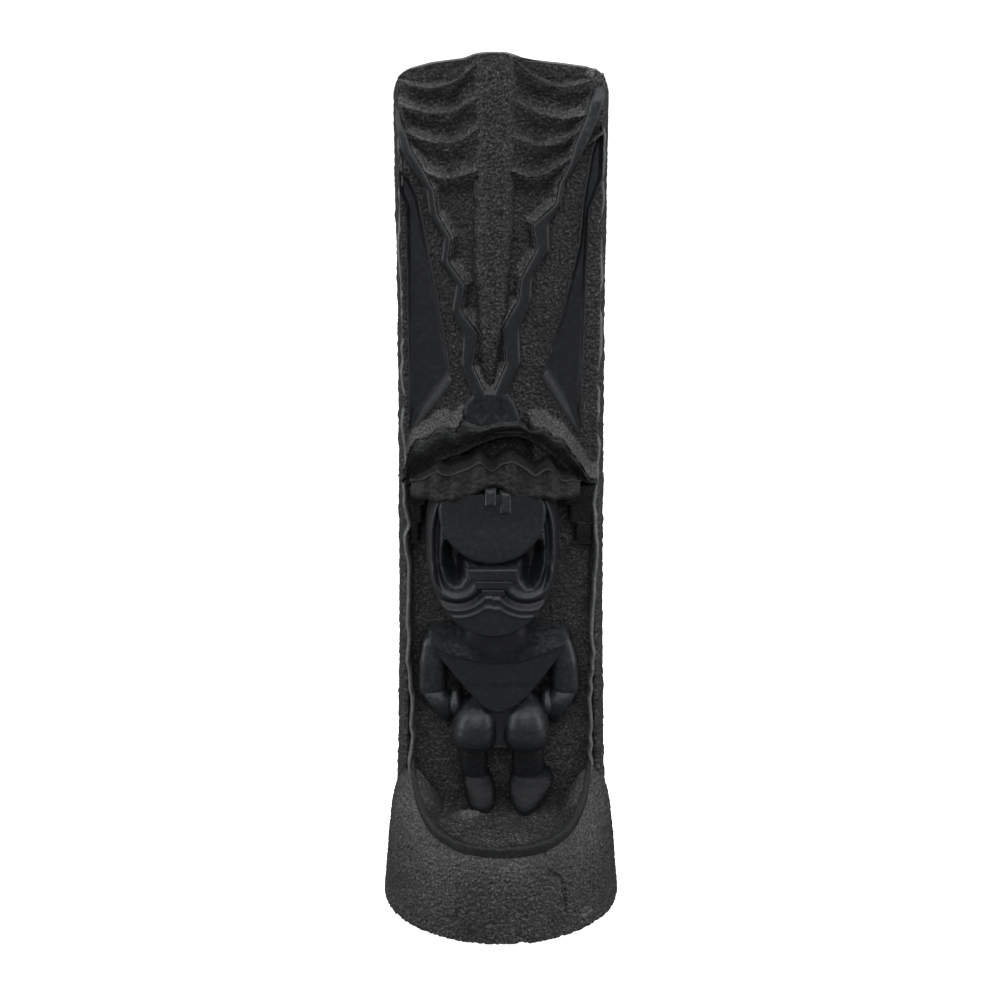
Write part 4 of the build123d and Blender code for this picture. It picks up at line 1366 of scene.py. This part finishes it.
@dataclass
class Head:
    """The mask-like head: an oval face with hollow eyes, a bowl forehead, a stepped nose bar, two tufts and a neck.

    Heights are mm above the top of the niche, so nearly all are negative.
    """

    at: Datums
    axis: float = -2.2  # x of the head's middle
    centre: float = -18.9  # height of the face's middle
    half: float = 17.7  # half its width
    tall: float = 23.2  # from its middle to the chin
    face_top: float = -2.0
    cheek: float = -10.6  # y of the cheeks
    hollow: Curve = (  # both eyes and the gap between brow and nose bar, as one smile
        (-14.6, -13.4), (-15.6, -16.5), (-15.6, -20.6), (-13.6, -25.0), (-12.0, -26.2), (-10.2, -25.9), (-8.9, -23.8),
        (-8.5, -20.3), (4.3, -20.3), (4.7, -24.6), (6.4, -26.8), (8.2, -26.6), (9.8, -24.6), (11.4, -20.6),
        (11.8, -16.5), (10.8, -13.4), (8.0, -13.0), (-12.0, -13.0),
    )
    eye_depth: float = 6.5
    ring_centres: Curve = ((-11.6, -22.9), (6.9, -22.9))
    rings: Triples = ((6.0, 0.9, 0.9), (9.6, 0.5, 0.42), (11.5, 0.45, 0.42))  # radius, half width, height
    groove: tuple[float, float, float] = (8.0, 0.8, 0.9)  # the same for the groove between them, its depth last
    outline_groove: tuple[float, float, float] = (3.4, 0.8, 1.5)  # inside the face's outline, above the mouth
    forehead_radius: float = 13.8
    forehead_centre: float = -5.4
    forehead_front: float = -13.6
    forehead_lean: float = 1.4  # how far its top leans back
    nose_back: float = -6.0  # y of the back of the nose bar
    forehead_back: float = -5.5
    tuft_front: float = -13.4
    tuft_back: float = -4.0
    nose: tuple[tuple[float, float, float, float], ...] = (  # foot, top, half width and y of each step
        (-28.4, -26.2, 3.4, -11.4), (-26.2, -23.6, 5.0, -12.0), (-23.6, -20.2, 6.5, -12.6),
    )
    tufts: dict[Side, tuple[float, float, float, float]] = field(  # left, right, foot, top
        default_factory=lambda: {Side.LEFT: (-4.2, -1.1, -3.4, 1.2), Side.RIGHT: (-0.4, 2.7, -5.4, 0.4)}
    )

    def build(self) -> None:
        """Make the neck, face, nose, forehead and forelocks."""
        self.make_neck()
        self.make_face()
        self.make_nose()
        self.make_forehead()
        for side in Side:
            self.make_tuft(side)

    def make_face(self) -> None:
        """The face as one relief over an oval that is squarer above its middle.

        y is the cheek's y, less a ridge for each ring about the nearer eye below eye level, plus the groove
        between them, a groove inside the outline, the eye hollows, a step back round the forehead's disc, and
        the outline rolled back over 2.2 mm. A ridge or groove is height * exp(-((distance - radius) / width)^2).
        """
        at = self.at
        low = self.centre - self.tall
        up = spread(np.array(low + 0.15), np.array(self.face_top), 190, 0.35)[:, None]
        above = up > self.centre
        share = np.abs(up - self.centre) / self.tall
        wide = self.half * np.clip(1 - share ** np.where(above, 3.4, 2.0), 0, 1) ** np.where(above, 0.42, 0.48)
        x = self.axis + wide * spread(np.array(-1.0), np.array(1.0), 170, 0.35)[None, :]
        up = up + 0 * x
        oval = self.half * (1 - np.hypot((x - self.axis) / self.half, (up - self.centre) / self.tall))
        near = np.where(above, wide - np.abs(x - self.axis), oval)
        y = self.cheek - 0.8 * smooth(-up, 12, 34) + 0.006 * (x - self.axis) ** 2
        apart = self.axis + np.sign(x - self.axis) * np.maximum(np.abs(x - self.axis), 1.9)
        radius = np.min([np.hypot(apart - a, up - b) for a, b in self.ring_centres], axis=0)
        below = smooth(-up, 18.0, 23.5) * smooth(near, 0.6, 2.4)
        for ring, width, height in self.rings:
            y -= height * np.exp(-(((radius - ring) / width) ** 2)) * below
        ring, width, height = self.groove
        y += height * np.exp(-(((radius - ring) / width) ** 2)) * below
        ring, width, height = self.outline_groove
        y += height * np.exp(-(((near - ring) / width) ** 2)) * smooth(up, -30.0, -22.0)
        y += self.eye_depth * smooth(edge_distance(x, up, self.hollow), -0.35, 3.2)
        y += 4.0 * smooth(self.forehead_radius - np.hypot(x - self.axis, up - self.forehead_centre), 0.2, 1.6)
        y += (4.0 - self.cheek) * (1 - roll(near, 2.2)) * 0.85
        front = hand_work(np.stack([x, y, up + at.niche], -1), 0.15, 141)
        stands_for = ("face", "left_eye_rim", "right_eye_rim", "upper_lip_fold", "lower_lip_fold", "chin")
        Palette.dress(plate("mask_face", front, at.niche_back - 0.5), POLISHED, stands_for)

    def make_nose(self) -> None:
        """A bar across the face that narrows downwards in two steps, each step set back."""
        at = self.at
        up = np.linspace(self.nose[0][0], self.nose[-1][1], 90)[:, None]
        step = np.searchsorted([tier[1] for tier in self.nose[:-1]], up[:, 0])
        foot, top, half, front_y = np.array(self.nose)[step].T[..., None]
        across = spread(np.array(-1.0), np.array(1.0), 60, 0.5)[None, :]
        x = self.axis + 0.2 + half * across
        near = np.minimum((1 - np.abs(across)) * half, np.minimum(up - foot + 0.3, top - up))
        y = front_y + 1.0 * (1 - roll(near, 0.8))
        front = hand_work(np.stack([x, y, up + at.niche + 0 * x], -1), 0.12, 151)
        Palette.dress(plate("stepped_nose_bar", front, self.nose_back), POLISHED, ("nose_bar",))

    def make_forehead(self) -> None:
        """A shallow bowl of a disc that leans back under the lower band, its rim rolled over 1.1 mm."""
        at = self.at
        low = self.forehead_centre - self.forehead_radius
        up = spread(np.array(low + 0.05), np.array(-0.5), 110, 0.3)[:, None]
        half = np.sqrt(np.clip(self.forehead_radius**2 - (up - self.forehead_centre) ** 2, 0.05, None))
        half = half - 1.0 * smooth(up, -5.0, -1.0)
        x = self.axis + half * spread(np.array(-1.0), np.array(1.0), 150, 0.4)[None, :]
        up = up + 0 * x
        radius = np.hypot(x - self.axis, up - self.forehead_centre)
        y = self.forehead_front + 0.004 * radius**2 + 1.6 * (1 - roll(self.forehead_radius - radius, 1.1))
        y += self.forehead_lean * smooth(up, -19.0, -6.0)
        front = hand_work(np.stack([x, y, up + at.niche], -1), 0.12, 161)
        Palette.dress(plate("bowl_forehead", front, self.forehead_back), POLISHED, ("forehead",))

    def make_tuft(self, side: Side) -> None:
        """A square tuft under the middle of the lower band, with rounded corners, leaning back upwards.

        Args:
            side: the viewer's left or right.
        """
        at = self.at
        left, right, low, high = self.tufts[side]
        x = spread(np.array(left), np.array(right), 26, 0.5)[None, :]
        up = spread(np.array(low), np.array(high), 30, 0.5)[:, None]
        near = np.minimum(np.minimum(x - left, right - x), np.minimum(up - low, high - up))
        y = self.tuft_front + 0.9 * (1 - roll(near, 1.3)) + 0.2 * (up - low)
        grid = np.stack([x + 0 * up, y, up + at.niche + 0 * x], -1)
        tuft = plate(f"{side.word}_tuft", hand_work(grid, 0.15, 165), self.tuft_back)
        Palette.dress(tuft, POLISHED, (f"{side.word}_forelock",))

    def make_neck(self) -> None:
        """A short drum from the shoulders into the chin."""
        at = self.at
        rows = 20
        z = np.linspace(at.shoulder - 5.0, at.shoulder + 8.0, rows)
        centre = np.stack([np.full(rows, self.axis + 0.8), np.full(rows, 4.0), z], -1)
        half = np.stack([np.linspace(9.5, 8.0, rows), np.full(rows, 6.0)], -1)
        rings = oval_ring(centre, half, np.full(rows, 2.4), 80)
        rings[..., 1] = np.minimum(rings[..., 1], at.niche_back)
        Palette.dress(drum("short_neck", hand_work(rings, 0.2, 171, wrap=True)), POLISHED, ("neck",))


# ---- Body --------------------------------------------------------------------------------------


@dataclass(frozen=True)
class Limb:
    """A limb as a stack of level rings against the back of the niche."""

    name: str  # the CAD node's name without its side
    datum: str  # which of the datums its heights are measured up from
    power: float  # how square the rings are, 2 an ellipse
    seed: int  # picks the small unevenness
    handled: float  # how rubbed its whole surface is, 0..1
    finish: Finish
    rings: dict[Side, tuple[tuple[float, float, float, float], ...]]  # height, left x, right x, front y


# Shoulder to elbow: widest at the elbow, its front rolled over.
UPPER_ARM = Limb("upper_arm", "shoulder", 2.6, 191, 0.3, POLISHED, {
    Side.LEFT: ((-20.6, -21.4, -15.8, 3.0), (-16.0, -22.8, -14.9, 0.2), (-7.0, -22.5, -14.6, -0.4),
                (-1.0, -21.4, -14.0, 0.6), (1.4, -20.2, -14.4, 4.0)),
    Side.RIGHT: ((-20.6, 14.4, 20.4, 3.0), (-16.0, 13.6, 21.8, 0.2), (-7.0, 13.2, 21.0, -0.4),
                 (-1.0, 12.8, 19.4, 0.6), (1.4, 13.2, 18.4, 4.0)),
})
# Elbow to wrist, down and in towards the thigh.
FOREARM = Limb("forearm", "floor", 2.8, 195, 0.3, POLISHED, {
    Side.LEFT: ((22.6, -15.4, -14.2, 3.6), (26.0, -17.6, -12.6, 0.8), (30.0, -20.4, -12.9, -0.6),
                (32.4, -21.8, -14.6, -0.1), (36.6, -22.2, -16.0, 2.6)),
    Side.RIGHT: ((22.6, 13.8, 15.8, 3.6), (26.0, 12.0, 17.4, 0.8), (30.0, 11.6, 19.8, -0.6),
                 (32.4, 13.4, 20.8, -0.1), (36.6, 14.6, 21.0, 2.6)),
})
# A small cupped hand on the thigh's outer edge.
HAND = Limb("hand", "floor", 2.4, 199, 0.3, POLISHED, {
    Side.LEFT: ((25.4, -13.3, -11.5, 1.4), (27.5, -14.3, -10.5, -0.9), (30.0, -14.4, -10.4, -1.4),
                (33.4, -13.6, -11.2, 1.0)),
    Side.RIGHT: ((25.4, 11.5, 13.3, 1.4), (27.5, 10.5, 14.3, -0.9), (30.0, 10.4, 14.4, -1.4),
                 (33.4, 11.2, 13.6, 1.0)),
})
# A bulging thigh with a domed top and a sharp lower edge that overhangs the calf.
THIGH = Limb("thigh", "knee", 2.15, 203, 0.2, POLISHED, {
    Side.LEFT: ((0.0, -12.6, -1.3, -4.4), (0.6, -13.4, -0.9, -5.6), (4.0, -13.6, -0.7, -6.5),
                (8.0, -13.0, -0.8, -6.2), (11.0, -11.6, -1.8, -4.8), (13.2, -9.0, -3.6, -1.6),
                (13.8, -7.4, -5.0, 1.6)),
    Side.RIGHT: ((0.0, 1.0, 12.4, -4.4), (0.6, 0.5, 13.2, -5.6), (4.0, 0.1, 13.5, -6.6),
                 (8.0, 0.5, 13.0, -6.4), (11.6, 1.8, 11.6, -5.0), (14.0, 4.2, 9.8, -1.8),
                 (14.8, 6.0, 8.2, 1.6)),
})
# A straight calf set back under the thigh, dressed in painted shade; its last ring, inside the thigh, is added when it
# is built.
CALF = Limb("calf", "floor", 2.4, 207, 0.0, PAINTED_SHADE, {
    Side.LEFT: ((5.0, -10.7, -4.1, 0.4), (8.0, -11.3, -3.7, -0.2), (14.0, -11.3, -3.7, -0.4)),
    Side.RIGHT: ((5.0, 3.6, 11.6, 0.4), (8.0, 3.0, 12.0, -0.2), (14.0, 3.0, 12.0, -0.4)),
})
# A wedge foot: high at the ankle, its toe low and turned out, dressed in painted shade.
FOOT = Limb("foot", "floor", 2.5, 211, 0.0, PAINTED_SHADE, {
    Side.LEFT: ((-0.6, -8.6, -2.0, -5.4), (0.6, -9.8, -1.3, -6.0), (3.4, -10.2, -1.3, -4.6),
                (6.0, -10.6, -2.2, -2.8), (7.8, -10.4, -3.4, -0.6)),
    Side.RIGHT: ((-0.6, 4.0, 9.0, -6.4), (0.6, 2.8, 11.2, -6.6), (3.4, 2.1, 13.6, -5.2),
                 (6.0, 2.2, 14.8, -3.2), (7.8, 3.4, 14.2, -0.8)),
})


@dataclass
class Body:
    """The squat body: a wedge torso, hips, and on each side an arm and a leg.

    The torso's heights are mm above the shoulders, so nearly all are negative.
    """

    at: Datums
    chest_top: Curve = ((-18.9, 0.8), (-13.6, -2.2), (-6.0, -4.1), (-0.3, -4.5), (5.0, -4.1), (10.4, -2.2), (17.6, 0.8))
    chest_foot: Curve = (
        (-18.9, -0.6), (-8.6, -14.3), (-4.0, -19.2), (-0.3, -20.4), (4.4, -18.0), (8.0, -14.3), (17.6, -0.6),
    )
    chest_front: float = -5.0
    hip_half: Curve = ((18, 8.5), (26, 9.5), (33, 6.0))  # height above the floor, half width
    hip_rows: int = 24
    limbs: tuple[Limb, ...] = (UPPER_ARM, FOREARM, HAND, THIGH, CALF, FOOT)
    limb_rows: int = 70
    limb_columns: int = 84

    def build(self) -> None:
        """Make the hips and torso, then each side's arm and leg."""
        self.hips()
        self.torso()
        for side in Side:
            for limb in self.limbs:
                self.limb(limb, side)

    def torso(self) -> None:
        """A flat chest between two curves over x, then a slope back from its crisp top edge to the niche.

        The slope rises with the share s of the way back as s^1.25.
        """
        at = self.at
        x = spread(np.array(self.chest_top[0][0]), np.array(self.chest_top[-1][0]), 150, 0.25)
        top, foot = follow(x, self.chest_top, 1.2), follow(x, self.chest_foot, 0.6)
        t = spread(np.array(0.0), np.array(1.0), 60, 0.4)[:, None]
        up = foot + (top - foot) * t
        near = np.minimum(t * (top - foot), np.minimum(x - x[0], x[-1] - x) * 0.9)
        belly = 0.25 * smooth(up, -12.0, -10.6)
        y = self.chest_front + 0.9 - belly * 0.8 + 2.0 * (1 - roll(near, 1.0)) + 0.0012 * x**2
        y = y - 0.45 * np.exp(-(((1 - t) * (top - foot) / 0.6) ** 2))
        s = np.linspace(0.03, 1, 30)[:, None]
        slope_y = y[-1] + (at.niche_back - 0.5 - y[-1]) * s
        slope_z = top + at.shoulder + (2.2 - top * 1.15) * s**1.25
        chest = np.stack([x + 0 * t, y, up + at.shoulder], -1)
        front = np.concatenate([chest, np.stack([x + 0 * s, slope_y, slope_z], -1)])
        # Painted light on the slope behind the chest: paler towards the shoulders, away from the head's shade; the
        # chest takes almost none.
        dust = np.concatenate([0.02 + 0 * (x + t), 0.12 + 0.85 * smooth(np.abs(x), 4.0, 14.0) + 0 * s])
        Palette.dress(plate("wedge_torso", hand_work(front, 0.12, 181), at.niche_back, dust), POLISHED, ("torso",))

    def hips(self) -> None:
        """A rounded block behind the thighs."""
        up = np.linspace(self.hip_half[0][0], self.hip_half[-1][0], self.hip_rows)
        half = np.stack([follow(up, self.hip_half, 1.5), np.full(self.hip_rows, 5.2)], -1)
        centre = np.stack([0 * up, np.full(self.hip_rows, 2.9), up + self.at.floor], -1)
        rings = oval_ring(centre, half, np.full(self.hip_rows, 3.0), 80)
        Palette.dress(drum("broad_hips", hand_work(rings, 0.2, 185, wrap=True)), POLISHED, ("hips",))

    def limb(self, limb: Limb, side: Side) -> None:
        """Make and dress one limb: its rings' edges and front follow the limb's table over height.

        Args:
            limb: the limb's table.
            side: on which side.
        """
        at = self.at
        table = np.array(limb.rings[side])
        table[:, 0] += getattr(at, limb.datum)
        if limb is CALF:
            inner = table[-1, 1:3] + (0.4, -0.4)
            table = np.concatenate([table, [[at.knee + 1.5, *inner, 0.2]]])
        z = spread(table[0, 0], table[-1, 0], self.limb_rows, 0.4)
        left, right, front = (follow(z, tuple(zip(table[:, 0], table[:, i])), 1.1) for i in (1, 2, 3))
        back = at.niche_back - 0.2
        centre = np.stack([(left + right) / 2, (front + back) / 2, z], -1)
        half = np.stack([(right - left) / 2, (back - front) / 2], -1)
        rings = oval_ring(centre, half, np.full(self.limb_rows, limb.power), self.limb_columns)
        rings = hand_work(rings, 0.18, limb.seed, wrap=True)
        # Rubbing over the whole limb, plus dust and painted top light on what faces up.
        dust = limb.handled + FACING * grid_normals(rings, True)[..., 2]
        cad_name = f"{side.word}_{limb.name}"
        Palette.dress(drum(f"{cad_name}_carving", rings, dust), limb.finish, (cad_name,))


# ---- Stage -------------------------------------------------------------------------------------


@dataclass
class Studio:
    """A pale floor that curves up all round, soft lights overhead, in front and behind, two strips, a camera."""

    floor_colour: str = "f4f4f2"
    level: float = 1.2  # m, how far out the floor lies level
    sweep: float = 0.9  # m, radius of the curve up to the backdrop
    camera_place: tuple[float, float, float] = (-0.00025, -0.400, 0.254)
    camera_down: float = 18.9  # degrees
    lens: float = 58.46
    world_grey: float = 0.2
    wall_top: float = 4.0  # m
    spokes: int = 96  # grid points round the backdrop
    lamps: tuple[tuple[str, tuple[float, float, float], float, tuple[float, float], float], ...] = (
        # name, place, height of the point on the axis it is turned to, width and height in m, power in W
        ("overhead_softbox", (0.0, -0.10, 0.95), 0.1, (1.3, 1.0), 4.3),
        ("front_softbox", (0.0, -0.95, 0.80), 0.1, (1.2, 0.6), 5.9),
        ("left_strip", (-0.62, -0.12, 0.26), 0.12, (0.16, 0.7), 1.9),
        ("right_strip", (0.62, -0.12, 0.26), 0.12, (0.16, 0.7), 1.7),
        ("back_fill", (0.0, 0.8, 0.6), 0.12, (0.8, 0.5), 3.0),
    )

    def build(self) -> None:
        """Set the stage."""
        self.backdrop()
        for lamp in self.lamps:
            self.light(*lamp)
        world = bpy.data.worlds.new("dim_room")
        world.use_nodes = True
        world.node_tree.nodes["Background"].inputs[0].default_value = (self.world_grey,) * 3 + (1,)
        bpy.context.scene.world = world
        bpy.context.scene.view_settings.view_transform = "Standard"
        camera = bpy.data.objects.new("front_camera", bpy.data.cameras.new("front_camera"))
        camera.location = self.camera_place
        camera.rotation_euler = (math.radians(90 - self.camera_down), 0, 0)
        camera.data.lens = self.lens
        camera.data.clip_start = 0.01
        bpy.context.scene.collection.objects.link(camera)
        bpy.context.scene.camera = camera

    def backdrop(self) -> None:
        """A round sheet that lies level, then rises along a quarter circle and stands upright all round."""
        turn = np.linspace(0, math.pi / 2, 24)
        reach = np.concatenate([[0.01], self.level + self.sweep * np.sin(turn), [self.level + self.sweep]])
        rise = np.concatenate([[0.0], self.sweep * (1 - np.cos(turn)), [self.wall_top]])
        rows = len(rise)
        centre = np.stack([0 * rise, 0 * rise, rise], -1)
        rings = oval_ring(centre, np.c_[reach, reach], np.full(rows, 2.0), self.spokes)
        mesh = bpy.data.meshes.new("pale_sweep")
        middle = list(range(self.spokes))
        quads = grid_quads(rows, self.spokes, True)[:, ::-1].tolist()
        mesh.from_pydata(rings.reshape(-1, 3).tolist(), [], quads + [middle])
        mesh.shade_smooth()
        sweep = bpy.data.objects.new("pale_sweep", mesh)
        bpy.context.scene.collection.objects.link(sweep)
        material, tree = fresh_tree("pale_paper")
        surface = {
            "Base Color": linear(self.floor_colour),
            "Roughness": 0.9,
            "Emission Color": linear("ffffff"),
            "Emission Strength": 1.0,
        }
        shader = node(tree, "BsdfPrincipled", surface)
        node(tree, "OutputMaterial", {"Surface": shader.outputs[0]})
        mesh.materials.append(material)
        sweep.visible_diffuse = False
        sweep.visible_glossy = False

    def light(
        self, name: str, place: tuple[float, float, float], aim: float, size: tuple[float, float], watts: float
    ) -> None:
        """Hang an area light.

        Args:
            name: the lamp's name.
            place: where it hangs, in m.
            aim: height in m of the point on the upright axis that it is turned to.
            size: its width and height in m.
            watts: its power.
        """
        lamp = bpy.data.lights.new(name, "AREA")
        lamp.shape = "RECTANGLE"
        lamp.size, lamp.size_y = size
        lamp.energy = watts
        holder = bpy.data.objects.new(name, lamp)
        holder.location = place
        holder.rotation_euler = (Vector((0, 0, aim)) - Vector(place)).to_track_quat("-Z", "Y").to_euler()
        bpy.context.scene.collection.objects.link(holder)


def main() -> None:
    """Load the frame and build every sub-assembly in order."""
    logging.basicConfig(level=logging.INFO, format="%(name)s %(message)s")
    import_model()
    at = Datums.read()
    column = Column(at)
    for assembly in (Base(at), column, Headdress(at, column), Headbands(at), Head(at), Body(at), Studio()):
        log.info("building %s", type(assembly).__name__)
        assembly.build()


if __name__ == "__main__":
    main()
